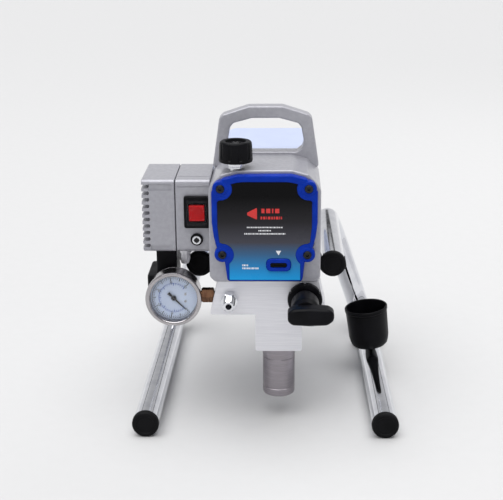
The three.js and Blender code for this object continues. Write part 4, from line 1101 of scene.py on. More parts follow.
    def cup(self) -> None:
        """The drip cup with its rolled rim and the clip behind it."""
        outer_clip = self.tube + 2.75
        floor = outer_clip + 1.0
        top = floor + self.cup_height
        r = self.cup_radius
        outside = [
            (r - 12, floor), (r - 7, floor + 0.8), (r - 4.6, floor + 3.0), (r - 3.2, floor + 7.0),
            (r - 1.9, floor + 14), (r - 0.9, top - 5.0)
        ]
        rim = [(r, top - 4.4), (r, top - 0.9), (r - 0.5, top - 0.2), (r - 1.4, top), (r - 2.2, top - 0.6)]
        inside = [(r - 2.9, top - 6), (r - 3.8, floor + 14), (r - 6.4, floor + 5), (r - 12.5, floor + 2.6)]
        body = Shaper("drip_cup_body").turned(Z, outside + rim + inside, (0.0, 0.0), 72)
        grip = Shaper("grip").rod(Y, outer_clip, r + 36, r + 54, (0.0, 0.0), 56)
        arm = Shaper("arm").block(-7, 7, r - 14, r + 54, 13.5, floor + 8).soften(1.2, 2)
        bore = Shaper("bore").rod(Y, self.tube + GAP, 0, r + 60, (0.0, 0.0), 56)
        mouth = Shaper("mouth").block(-11.3, 11.3, r + 30, r + 60, -outer_clip - 2, -7)
        inner = Shaper("inner").turned(
            Z,
            [
                (r - 12.5, floor + 2.6), (r - 6.4, floor + 5), (r - 3.8, floor + 14), (r - 2.9, top - 6),
                (r - 2.2, top + 1)
            ],
            (0.0, 0.0), 72
        )
        whole = grip.plus(arm).less(bore, mouth, inner)
        body.plus(whole)
        body.piece.name = "drip_cup_moulding"
        at = Vector(
            (
                self.foot_x - self.toe_in * self.cup_y / self.upright_y, self.cup_y,
                self.plug - self.drop * self.cup_y / self.upright_y
            )
        )
        body.place(turn=(0.0, radians(-self.cup_tilt), 0.0))
        body.place(turn=(-self.drop / self.upright_y, 0.0, self.toe_in / self.upright_y), at=at)
        body.done("frame", self.kit["black_plastic"], "black_plastic", ("drip_cup",))


@dataclass
class Housing:
    """The cast gear housing with its carry handle, glossy cover, printed panel and screws."""

    kit: Kit
    half: float = 63.5
    front: float = 37.5
    back: float = 146.0
    bottom: float = 180.0
    top: float = 312.0
    handle_top: float = 369.0
    handle_front: float = 118.0
    handle_back: float = 138.0
    cover_front: float = 28.5
    cover_top: float = 308.5
    cover_bottom: float = 183.6
    cover_half: float = 59.7
    boss: float = 9.0
    upper: Flat = (49.4, 292.8)
    lower: Flat = (48.2, 215.8)
    port: Flat = (15.7, 204.0)
    pump_x: float = 15.6
    pump_y: float = 67.0
    foot_half: float = 36.5
    side_screw_at: Flat = (96.0, 280.0)

    def build(self) -> None:
        """Makes the casting, the cover, the panel and the small parts."""
        self.casting()
        self.cover()
        self.panel()
        self.plug()
        self.screws()
        self.side_screw()

    def screw_places(self) -> list[Flat]:
        """The four cover screws' places."""
        return [(s * x, z) for x, z in (self.upper, self.lower) for s in (-1, 1)]

    def port_slot(self, half_wide: float, half_high: float, radius: float) -> list[Flat]:
        """A rounded slot about the oil port."""
        return oblong(self.port, half_wide, half_high, radius)

    def film_face(self) -> float:
        """The front of the printed film, a hair behind the cover's rim."""
        return self.cover_front + 0.05

    def casting(self) -> None:
        """The hollow casting and the handle over it, as one piece."""
        h, t, b = self.half, self.top, self.bottom
        side = [(31, t), (49, t - 5), (h - 5, t - 15), (h, t - 24), (h, b + 6), (h - 6, b)]
        outline = rounded(both_halves(side)[::-1], 5.0, 4)
        whole = Shaper("casting").push(outline, Y, self.front, self.back).soften(2.0, 4, 40.0)
        grip = [(20, self.handle_top), (50, self.handle_top - 9.7), (54.5, self.handle_top - 14), (h, t - 17)]
        window = [
            (16, self.handle_top - 14), (38, self.handle_top - 20), (42, self.handle_top - 25),
            (45, t + 15), (43, t + 8), (37, t + 3)
        ]
        handle = Shaper("handle").push(
            rounded(both_halves(grip)[::-1], 6.0, 4), Y, self.handle_front, self.handle_back
        )
        handle.less(
            Shaper("window").push(
                rounded(both_halves(window)[::-1], 5.0, 4), Y, self.handle_front - 5, self.handle_back + 5
            )
        )
        handle.soften(3.0, 4, 40.0)
        whole.plus(handle)
        hollow = [(h - 7, t - 18), (h - 7, 224.0), (self.foot_half, 205.0), (self.foot_half, b + 7)]
        cavity = Shaper("cavity").push(rounded(both_halves(hollow)[::-1], 8.0), Y, self.front - 5, 106.0)
        pocket = Shaper("pocket").rod(Y, 41.0, 120.0, self.back + 5, (0.0, 258.0), 64)
        shaft = Shaper("shaft").rod(Y, 15.5, 100.0, 125.0, (5.0, 250.0), 40)
        rod = Shaper("rod").rod(Z, 19.0, b - 2, b + 9, (self.pump_x, self.pump_y), 48)
        stem = Shaper("stem").rod(Z, 7.35, t - 30, t + 2, (-32.5, 50.0), 32)
        whole.less(cavity, pocket, shaft, rod, stem)
        whole.piece.name = "gear_casting"
        whole.done("frame", self.kit["cast_housing"], "cast_housing", ("main_housing",))

    def cover_outline(self, inset: float = 0.0) -> list[Flat]:
        """The cover's outline.

        Args:
            inset: how far it is drawn in.

        Returns:
            The outline's places.
        """
        h, t, b, i = self.cover_half, self.cover_top, self.cover_bottom, inset
        half = [
            (30, t - i), (46 - i * 0.4, t - 4.2 - i), (h - 4 - i, t - 12 - i * 0.6), (h - i, t - 20),
            (h - i, t - 55)
        ]
        half += [
            (h - 2 - i, t - 72), (53 - i, 218.8), (45.5 - i, 206.8), (43 - i, b + 2 + i), (41 - i, b + i)
        ]
        return rounded(both_halves(half)[::-1], 3.0, 3)

    def label_outline(self, inset: float) -> list[Flat]:
        """The printed panel's outline with a bite round each screw boss.

        Args:
            inset: how far it is drawn in.

        Returns:
            The outline's places.
        """
        notch = 13.0 + inset
        half, top = self.cover_half - 6.3 - inset, self.cover_top - 10.0 - inset
        bottom, foot = self.cover_bottom + 2.0 + inset, 40.5 - inset
        (ux, uz), (lx, lz) = self.upper, self.lower

        def bite(x: float, z: float, start: float, end: float) -> list[Flat]:
            """Places round one bite."""
            turns = [start + (end - start) * i / 12 for i in range(13)]
            return [(x + notch * cos(a), z + notch * sin(a)) for a in turns]

        right = [(foot, bottom)]
        right += bite(lx, lz, pi + acos((lx - foot) / notch), pi / 2)
        right += [
            (half - 2, lz + notch + 1.5), (half, self.cover_top - 60), (half, uz - notch - 2),
            (half - 2, uz - notch)
        ]
        high = atan2(top - uz, -sqrt(notch**2 - (top - uz) ** 2))
        right += bite(ux, uz, -pi / 2, high - 2 * pi) + [(31.0, top + 1.6), (25.0, top + 2.4)]
        return right + [(-x, z) for x, z in reversed(right)]

    def cover(self) -> None:
        """The glossy cover: a plate with four screw bosses, a raised port rim and a sunk bed for the panel."""
        back = self.front - GAP
        plate = Shaper("cover").push(self.cover_outline(), Y, self.cover_front, back + 4).soften(2.6, 5, 40.0)
        plate.less(Shaper("trim").block(-80, 80, back, back + 20, 150, 330))
        plate.less(
            Shaper("bed").push(self.label_outline(0.0), Y, self.cover_front - 5, self.cover_front + 1.15)
        )
        for x, z in self.screw_places():
            plate.plus(
                Shaper("boss").turned(
                    Y, quarter(self.boss, self.cover_front - 0.5, 2.0, True) + [(self.boss, back)], (x, z),
                    56
                )
            )
        front, mouth = self.cover_front, self.port_slot(9.5, 3.0, 2.6)
        rim = Shaper("rim").push(
            oblong(self.port, 14, 7.5, 6.8, 8), Y, front - 2, front + 4
        ).soften(1.3, 4, 50.0)
        plate.plus(rim)
        plate.less(Shaper("mouth").push(mouth, Y, front - 6, back + 2))
        plate.less(
            Shaper("hollow").push(rectangle(-44, 44, 196, 286, 8.0), Y, self.cover_front + 4, back + 5)
        )
        neck = Shaper("neck").push(self.port_slot(13, 6.5, 5.8), Y, front + 3, back)
        plate.plus(neck.less(Shaper("throat").push(mouth, Y, front - 6, back + 2)))
        for x, z in self.screw_places():
            plate.less(Shaper("sink").rod(Y, 4.95, self.cover_front - 5, self.cover_front + 3, (x, z), 40))
            plate.less(Shaper("hole").rod(Y, 3.2, self.cover_front, back + 3, (x, z), 24))
        plate.piece.name = "glossy_cover"
        plate.done("frame", self.kit["blue_cover"], "blue_cover", ("front_cover",))

    def panel(self) -> None:
        """The faded panel and its plain printed shapes."""
        face = self.film_face()
        film = Shaper("film").push(self.label_outline(GAP), Y, face, face + 0.8)
        film.less(Shaper("port").push(oblong(self.port, 14 + GAP, 7.5 + GAP, 7.0, 8), Y, face - 3, face + 4))
        film.piece.name = "faded_panel"
        film.done("frame", self.kit["printed_panel"], "printed_panel", ("front_label",), 20.0)
        fan = [(-19.5, 265.6), (-19.5, 262.6), (-8.5, 257.4), (-8.5, 271.4)]
        self.printed("red_fan", rounded(fan, 1.0, 3), "red_print")
        self.dashes("red_row", -4.5, 19.5, 257.8, 3.2, 3.4, "red_print")
        self.dashes("red_upper_row", -3.5, 16.5, 265.0, 5.2, 6.2, "red_print")
        self.dashes("upper_row", -20.0, 21.0, 247.6, 1.5, 1.9, "white_print")
        self.dashes("middle_row", -7.0, 7.5, 243.8, 1.5, 1.9, "white_print")
        self.dashes("lower_row", -23.0, 24.0, 240.0, 1.7, 1.9, "white_print")
        self.dashes("foot_row", -25.5, -19.0, 202.4, 2.0, 2.2, "white_print")
        self.dashes("foot_lower_row", -25.5, -6.5, 198.8, 2.0, 2.2, "white_print")
        self.printed("fill_arrow", [(12.6, 220.8), (18.6, 220.8), (15.6, 215.4)], "white_print")

    def dashes(
        self, name: str, x0: float, x1: float, z: float, high: float, pitch: float, finish: str
    ) -> None:
        """A row of short printed dashes of uneven length.

        Args:
            name: the row's name.
            x0: where it starts.
            x1: where it ends.
            z: its lower edge.
            high: how tall it is.
            pitch: the mean space from one dash to the next.
            finish: the print's finish.
        """
        face = self.film_face()
        shape, x, i = Shaper(name), x0, 0
        while x < x1 - 0.4:
            wide = pitch * (0.55 + 0.3 * sin(2.4 * i))
            shape.push(rectangle(x, min(x + wide, x1), z, z + high), Y, face - 0.06, face + 0.3)
            x, i = x + wide + pitch * 0.3, i + 1
        shape.done("frame", self.kit[finish], "printed_panel")

    def printed(self, name: str, outline: list[Flat], finish: str) -> None:
        """One printed shape, a hair proud of the film.

        Args:
            name: the shape's name.
            outline: its places.
            finish: the print's finish.
        """
        face = self.film_face()
        Shaper(name).push(outline, Y, face - 0.06, face + 0.3).done(
            "frame", self.kit[finish], "printed_panel"
        )

    def plug(self) -> None:
        """The black plug in the port, with a coin slot."""
        px, pz = self.port
        shape = Shaper("port_plug").push(
            self.port_slot(9.5 - GAP, 3.0 - GAP, 2.4), Y, self.cover_front - 0.8, self.cover_front + 8
        ).soften(0.5, 3, 50.0)
        shape.less(
            Shaper("slot").block(px - 6, px + 6, self.cover_front - 2, self.cover_front, pz - 0.7, pz + 0.7)
        )
        shape.done("frame", self.kit["black_plastic"], "black_plastic", ("oil_plug",))

    def screws(self) -> None:
        """One socket screw, copied to the four bosses."""
        f = self.cover_front
        (x0, z0), *others = self.screw_places()
        first = Shaper("cover_screw_a").turned(
            Y, quarter(4.6, f - 2.0, 1.4, True, 5) + [(4.6, f + 2.6), (2.8, f + 2.65), (2.8, f + 19)],
            (x0, z0), 40
        )
        first.less(Shaper("socket").push(polygon(6, 2.3, x0, z0), Y, f - 4, f + 0.6))
        copies = [
            first.copied(f"cover_screw_{'bcd'[i]}", Vector((x - x0, 0, z - z0))) for i,
            (x, z) in enumerate(others)
        ]
        for i, shape in enumerate([first, *copies]):
            shape.done("frame", self.kit["black_screw"], "black_screw", (f"cover_screw_{i + 1}",))

    def side_screw(self) -> None:
        """A small plug screw in each upper side of the casting."""
        at = self.side_screw_at
        for side, word in ((-1, "left"), (1, "right")):
            head = [(3.4, side * 62.0), (3.4, side * 63.7), (2.6, side * 64.2)]
            shape = Shaper(f"{word}_side_screw").turned(X, head, at, 32)
            shape.less(Shaper("socket").push(polygon(6, 1.7, *at), X, side * 63.2, side * 65.5))
            shape.done("frame", self.kit["black_screw"], "black_screw")


@dataclass
class Pump:
    """The machined pump block and the foot valve below it."""

    kit: Kit
    x: float = 3.5
    bore_x: float = 15.6
    bore_y: float = 67.0
    front: float = 40.0
    back: float = 94.0
    top: float = 179.65
    step: float = 139.0
    bottom: float = 93.3
    valve_bottom: float = 30.0
    outlet: Flat = (-41.0, 159.0)
    valve: Flat = (46.0, 159.0)
    gauge_port: Flat = (67.0, 153.5)
    nipple: Flat = (56.0, 62.0)

    def build(self) -> None:
        """Makes the block and the foot valve."""
        self.block()
        self.foot_valve()

    def block(self) -> None:
        """The block: sloping shoulders over a narrow neck, bored for its fittings."""
        wide = [
            (self.x - 67.8, self.step), (self.x + 67.8, self.step), (self.x + 58.4, self.top),
            (self.x - 58.4, self.top)
        ]
        whole = Shaper("pump_body").push(rounded(wide, 2.0, 3), Y, self.front, self.back)
        neck = Shaper("neck").push(
            rectangle(self.bore_x - 27.2, self.bore_x + 27.2, self.bottom, self.step + 20, 3.0, 3), Y,
            self.front + 0.01, self.back - 0.01
        )
        whole.plus(neck).soften(1.5, 3, 35.0)
        at = (self.bore_x, self.bore_y)
        whole.less(Shaper("bore").rod(Z, 15.65, self.bottom - 5, self.top + 5, at, 56))
        whole.less(Shaper("outlet").rod(Y, 7.35, self.front - 5, self.front + 14, self.outlet, 40))
        whole.less(Shaper("valve").rod(Y, 7.5, self.front - 5, self.front + 16, self.valve, 40))
        whole.less(Shaper("gauge").rod(X, 5.35, self.x - 80, self.x - 42, self.gauge_port, 32))
        whole.less(Shaper("return").rod(Z, 3.35, self.step - 5, self.step + 8, self.nipple, 24))
        whole.piece.name = "machined_block"
        whole.done("frame", self.kit["pump_aluminium"], "pump_aluminium", ("pump_block",))

    def foot_valve(self) -> None:
        """The turned foot valve with its throat, grip lands and lead-in."""
        b, r = self.valve_bottom, 19.25
        profile = [
            (9.0, b + 0.8), (9.8, b), (r - 2.0, b), (r - 0.6, b + 0.6), (r, b + 2.0), (r, b + 9),
            (r - 0.7, b + 9.6), (r - 0.7, b + 12), (r, b + 12.6)
        ]
        profile += [
            (r, b + 47), (r - 0.6, b + 47.6), (r - 0.6, b + 49.4), (r, b + 50), (r, 92.3), (r - 0.6, 92.95),
            (15.3, 92.95), (15.3, 112.0), (12.55, 112.0)
        ]
        profile += [(12.55, 42.0), (9.0, 42.0), (9.0, b + 0.8)]
        shape = Shaper("suction_foot").turned(Z, profile, (self.bore_x, self.bore_y), 72)
        shape.done("frame", self.kit["dull_stainless"], "dull_stainless", ("foot_valve",), 25.0)


@dataclass
class Motor:
    """The pale moulded cover over the motor and its fan."""

    kit: Kit
    half: float = 58.5
    top: float = 304.5
    bottom: float = 206.0
    corner: float = 18.0
    wall: float = 3.0
    front: float = 152.0
    back: float = 312.0
    slots: int = 7

    def build(self) -> None:
        """A rounded shell, slotted behind the fan and along its sides."""
        h, t, b, w = self.half, self.top, self.bottom, self.wall
        whole = Shaper("motor_cover").push(
            rectangle(-h, h, b, t, self.corner, 10), Y, self.front, self.back
        ).soften(3.5, 5, 60.0)
        whole.less(
            Shaper("inside").push(
                rectangle(-h + w, h - w, b + w, t - w, self.corner - w, 10), Y, self.front - 5,
                self.back - 6
            )
        )
        middle = (t + b) / 2
        for i in range(self.slots):
            z = middle + (i - (self.slots - 1) / 2) * 10.0
            whole.less(
                Shaper("slot").push(
                    rectangle(-34, 34, z - 2, z + 2, 1.9, 4), Y, self.back - 12, self.back + 5
                )
            )
        for i in range(5):
            z = middle + (i - 2) * 9.0
            whole.less(
                Shaper("vent").push(
                    rectangle(self.back - 62, self.back - 22, z - 1.6, z + 1.6, 1.5, 4), X, -h - 5, h + 5
                )
            )
        whole.done("frame", self.kit["pale_shroud"], "pale_shroud", ("motor_shroud",))
        self.screws()

    def screws(self) -> None:
        """Four crosshead screws in the cover's back corners."""
        x, low, high, back = -self.half + 11.0, self.bottom + 11.0, self.top - 11.0, self.back
        first = Shaper("cover_back_screw_a").turned(
            Y, [(3.9, back - 0.4), (3.9, back + 0.4), (3.0, back + 1.3), (1.6, back + 1.6)], (x, low), 32
        )
        first.less(Shaper("slot").block(x - 2.4, x + 2.4, back + 0.9, back + 3, low - 0.4, low + 0.4))
        copies = [
            first.copied(f"cover_back_screw_{word}", Vector(by)) for word,
            by in (("b", (-2 * x, 0, 0)), ("c", (0, 0, high - low)), ("d", (-2 * x, 0, high - low)))
        ]
        for shape in (first, *copies):
            shape.done("frame", self.kit["black_screw"], "pale_shroud")


@dataclass
class Fittings:
    """The hose outlet, the gauge, the prime valve and the return nipple."""

    kit: Kit
    block_front: float = 40.0
    port_z: float = 159.0
    outlet_x: float = -41.0
    outlet_tip: float = 12.0
    valve_x: float = 46.0
    gauge: Flat = (-107.7, 153.5)
    gauge_radius: float = 33.0
    gauge_face: float = 49.0
    block_side: float = -60.9
    stem_y: float = 67.0
    nipple: Flat = (56.0, 62.0)
    nipple_top: float = 138.65
    nipple_bottom: float = 116.0
    nipple_radius: float = 3.4

    def build(self) -> None:
        """Makes every fitting."""
        self.outlet()
        self.adapter()
        self.gauge_body()
        self.dial()
        self.needle()
        self.prime_valve()
        self.return_nipple()

    def outlet(self) -> None:
        """The hose nipple: a chamfered hexagon, a threaded nose and its hole."""
        at, f, tip = (self.outlet_x, self.port_z), self.block_front, self.outlet_tip
        whole = Shaper("hose_nipple").push(polygon(6, 10.0, *at), Y, f - 12, f - GAP)
        whole.combine(
            Shaper("round").turned(
                Y, [(8.4, f - 12.6), (10.4, f - 10.6), (10.4, f - 1.6), (8.8, f - 0.2)], at, 48
            ),
            "INTERSECT"
        )
        nose = [(5.6, tip), (6.3, tip + 0.5)]
        for i in range(9):
            nose += [(6.4, tip + 1.4 + i * 1.5), (7.0, tip + 2.1 + i * 1.5)]
        nose += [(6.3, f - 12.8), (6.3, f - 11.0)]
        whole.plus(Shaper("nose").turned(Y, nose, at, 48))
        whole.plus(Shaper("spigot").rod(Y, 7.0, f - 1, f + 13, at, 32))
        whole.less(Shaper("hole").rod(Y, 3.5, tip - 3, f + 16, at, 32))
        whole.done("frame", self.kit["chromed_steel"], "chromed_steel", ("outlet_fitting",))

    def adapter(self) -> None:
        """The brass hexagon and stem between the block and the gauge."""
        start, end = self.gauge[0] + self.gauge_radius - 0.8, self.block_side
        at = (self.stem_y, self.gauge[1])
        whole = Shaper("gauge_adapter_body").push(polygon(6, 9.0, *at), X, start, end)
        whole.combine(
            Shaper("round").turned(
                X, [(7.6, start - 0.2), (9.4, start + 1.6), (9.4, end - 1.6), (7.6, end + 0.2)], at, 40
            ),
            "INTERSECT"
        )
        stem = [(5.0, start - 9.0), (5.0, start + 1), (5.0, end - 1)]
        for i in range(2):
            stem += [(4.6, end + 0.4 + i), (5.0, end + 0.9 + i)]
        whole.plus(Shaper("stem").turned(X, stem + [(5.0, end + 14.0)], at, 36))
        whole.done("frame", self.kit["brass"], "brass", ("gauge_adapter",))

    def gauge_body(self) -> None:
        """The gauge's case, rolled bezel and lens."""
        f, r, at = self.gauge_face, self.gauge_radius, self.gauge
        o = r - 2.0
        profile = [
            (o - 3.05, f + 10.5), (o - 3.05, f + 4), (o, f + 4), (o, f + 27), (o - 0.4, f + 27.6),
            (o, f + 28.2)
        ]
        profile += [
            (o - 1.2 * i / 3, f + 29.2 + 2.2 * sin(pi / 2 * i / 3)) for i in range(4)
        ] + [(o - 6, f + 31.9), (o - 8, f + 32.0)]
        case = Shaper("gauge_drum").turned(Y, profile, at, 80)
        case.less(Shaper("stem").rod(X, 5.35, at[0] + o - 9, at[0] + o + 6, (self.stem_y, at[1]), 32))
        case.done("frame", self.kit["bright_stainless"], "bright_stainless", ("gauge_case",))
        i = r - 4.6
        roll = [
            (i, f + 1.1), (i + 0.6, f + 0.4), (i + 1.7, f), (r - 1.7, f), (r - 0.6, f + 0.35), (r, f + 1.4),
            (r, f + 6.6), (r - 0.5, f + 7.4), (r - 1.6, f + 8)
        ]
        roll += [(r - 1.65, f + 3.5), (i, f + 3.5), (i, f + 1.1)]
        Shaper("gauge_ring").turned(Y, roll, at, 80).done(
            "frame", self.kit["bright_stainless"], "bright_stainless", ("gauge_bezel",), 40.0
        )
        lens = Shaper("gauge_window").turned(
            Y, [(i - 0.9, f + 1.2), (i - GAP, f + 1.6), (i - GAP, f + 3.2)], at, 80
        )
        lens.done("frame", self.kit["clear_lens"], "clear_lens", ("gauge_lens",))

    def dial(self) -> None:
        """The enamel dial with two printed scales, plain numbers and two screws."""
        f, at = self.gauge_face + 8.0, self.gauge
        plate = Shaper("dial_plate").turned(Y, [(27.2, f), (27.65, f + 0.4), (27.65, f + 1.6)], at, 72)
        plate.done("frame", self.kit["gauge_face"], "gauge_face", ("gauge_dial",))
        self.scale("outer_scale", 25.6, 22.9, 21.2, 50, 5, "gauge_needle")
        self.scale("inner_scale", 17.6, 16.0, 15.0, 30, 5, "blue_print")
        numbers = Shaper("dial_numbers")
        numbers.solid()
        for i in range(6):
            a = self.dial_angle(i / 5)
            self.number(numbers, str(i * 10), 19.2, a)
        numbers.done("frame", self.kit["gauge_needle"], "gauge_face")
        self.dial_screws()

    def dial_angle(self, share: float) -> float:
        """The direction of a reading, clockwise from low on the right round to high on the right."""
        return radians(-45.0 - 270.0 * share)

    def scale(
        self, name: str, outer: float, short: float, long: float, steps: int, every: int, finish: str
    ) -> None:
        """A ring of printed marks with an arc along them.

        Args:
            name: the piece's name.
            outer: the radius the marks start from.
            short: the radius short marks reach.
            long: the radius long marks reach.
            steps: how many spaces between marks.
            every: how many spaces lie between long marks.
            finish: the print's finish.
        """
        f, (cx, cz) = self.gauge_face + 7.86, self.gauge
        shape = Shaper(name)
        for i in range(steps + 1):
            a = self.dial_angle(i / steps)
            tip, half = (long, 0.42) if i % every == 0 else (short, 0.24)
            u, v = Vector((cos(a), sin(a))), Vector((-sin(a), cos(a)))
            ends = [u * outer - v * half, u * outer + v * half, u * tip + v * half, u * tip - v * half]
            shape.push([(cx + e.x, cz + e.y) for e in ends], Y, f, f + 0.2)
        arc = [self.dial_angle(i / 60) for i in range(61)]
        rim = outer + 0.5
        band = [(cx + outer * cos(a), cz + outer * sin(a)) for a in arc]
        band += [(cx + rim * cos(a), cz + rim * sin(a)) for a in reversed(arc)]
        shape.push(band, Y, f, f + 0.2)
        shape.done("frame", self.kit[finish], "gauge_face")

    def number(self, onto: Shaper, text: str, radius: float, angle: float) -> None:
        """One plain number on the dial, upright with the turned gauge.

        Args:
            onto: the piece the number joins.
            text: the number.
            radius: how far it stands from the dial's middle.
            angle: its direction from the middle.
        """
        bpy.ops.object.select_all(action="DESELECT")
        bpy.ops.object.text_add(location=(0, 0, 0))
        made = bpy.context.object
        made.data.body = text
        made.data.size = 4.3
        made.data.extrude = 0.08
        made.data.align_x, made.data.align_y = "CENTER", "CENTER"
        made.data.resolution_u = 3
        bpy.ops.object.convert(target="MESH")
        made = bpy.context.object
        made.rotation_euler = (pi / 2, radians(90.0), 0.0)
        made.location = (
            self.gauge[0] + radius * cos(angle), self.gauge_face + 7.9, self.gauge[1] + radius * sin(angle)
        )
        bpy.ops.object.transform_apply(location=True, rotation=True, scale=True)
        bpy.ops.object.select_all(action="DESELECT")
        made.select_set(True)
        onto.piece.select_set(True)
        bpy.context.view_layer.objects.active = onto.piece
        bpy.ops.object.join()

    def dial_screws(self) -> None:
        """Two slotted screws that hold the dial."""
        f, (cx, cz) = self.gauge_face + 8.0, self.gauge
        first = Shaper("dial_screw_a").turned(
            Y, [(0.9, f - 0.7), (1.5, f - 0.4), (1.5, f + 0.2)], (cx + 13.6, cz + 4.4), 20
        )
        first.less(Shaper("slot").block(cx + 11, cx + 16, f - 1, f - 0.45, cz + 4.2, cz + 4.6))
        second = first.copied("dial_screw_b", Vector((0, 0, -8.8)))
        for shape in (first, second):
            shape.done("frame", self.kit["machined_steel"], "gauge_face")

    def needle(self) -> None:
        """The pointer with its tail and hub."""
        f, (cx, cz) = self.gauge_face + 5.5, self.gauge
        blade = [
            (-9, -1.9), (-9, 1.9), (-4, 1.2), (0, 1.1), (14, 0.7), (20.5, 0.2), (20.5, -0.2), (14, -0.7),
            (0, -1.1), (-4, -1.2)
        ]
        c, s = cos(radians(-45)), sin(radians(-45))
        outline = [(cx + x * c - z * s, cz + x * s + z * c) for x, z in blade]
        shape = Shaper("pointer").push(outline, Y, f + 0.1, f + 0.9)
        shape.plus(
            Shaper("hub").turned(
                Y, [(2.2, f - 0.8), (3.0, f - 0.2), (3.0, f + 1.4), (2.4, f + 2.0)], self.gauge, 32
            )
        )
        shape.done("needle", self.kit["gauge_needle"], "gauge_needle", ("gauge_needle",))

    def prime_valve(self) -> None:
        """The fixed flange and the turning lever with its uneven bar."""
        at, back = (self.valve_x, self.port_z), self.block_front - GAP
        flange = Shaper("valve_flange").turned(
            Y,
            [
                (7.5, back - 16), (13, back - 16), (13, back - 7), (18.2, back - 7), (19.5, back - 6.4),
                (20, back - 5.4), (20, back), (7.5, back), (7.5, back - 16)
            ],
            at, 64
        )
        for i in range(6):
            a = pi / 3 * i + pi / 6
            flange.less(
                Shaper("notch").rod(
                    Y, 2.0, back - 9, back + 2, (at[0] + 20.6 * cos(a), at[1] + 20.6 * sin(a)), 16
                )
            )
        flange.done("frame", self.kit["black_plastic"], "black_plastic", ("valve_base",))
        tail = back - 17
        skirt = Shaper("prime_handle").turned(
            Y,
            [
                (12.0, -7.0), (13.0, -6.6), (14.8, -1.0), (16.0, 1.4), (16.0, tail - 1), (15.4, tail),
                (7.0, tail), (7.0, self.block_front + 15)
            ],
            at, 64
        )
        x, z = at
        bar = [
            (x - 20, z - 5.0), (x - 15, z - 9.5), (x + 4, z - 10.5), (x + 24, z - 9.5), (x + 31.5, z - 4.0),
            (x + 31.5, z + 5.5), (x + 25, z + 9.5), (x + 4, z + 10.5), (x - 14, z + 9.5), (x - 20, z + 5.5)
        ]
        grip = Shaper("bar").push(rounded(bar, 9.0, 6), Y, -23.0, -3.0).soften(4.2, 6, 40.0)
        skirt.plus(grip)
        skirt.done("prime_valve", self.kit["black_plastic"], "black_plastic", ("prime_lever",))

    def return_nipple(self) -> None:
        """The barbed return nipple under the block."""
        top, b, r = self.nipple_top, self.nipple_bottom, self.nipple_radius
        profile = [(r - 1.2, b), (r - 0.9, b + 0.3)]
        for i in range(3):
            profile += [(r, b + 3.4 + i * 3.4), (r - 0.8, b + 3.8 + i * 3.4)]
        profile += [(r - 0.8, top - 6), (6, top - 6), (6, top), (3, top), (3, top + 7)]
        shape = Shaper("return_barb").turned(Z, profile, self.nipple, 36)
        shape.done("frame", self.kit["chromed_steel"], "chromed_steel", ("return_fitting",))


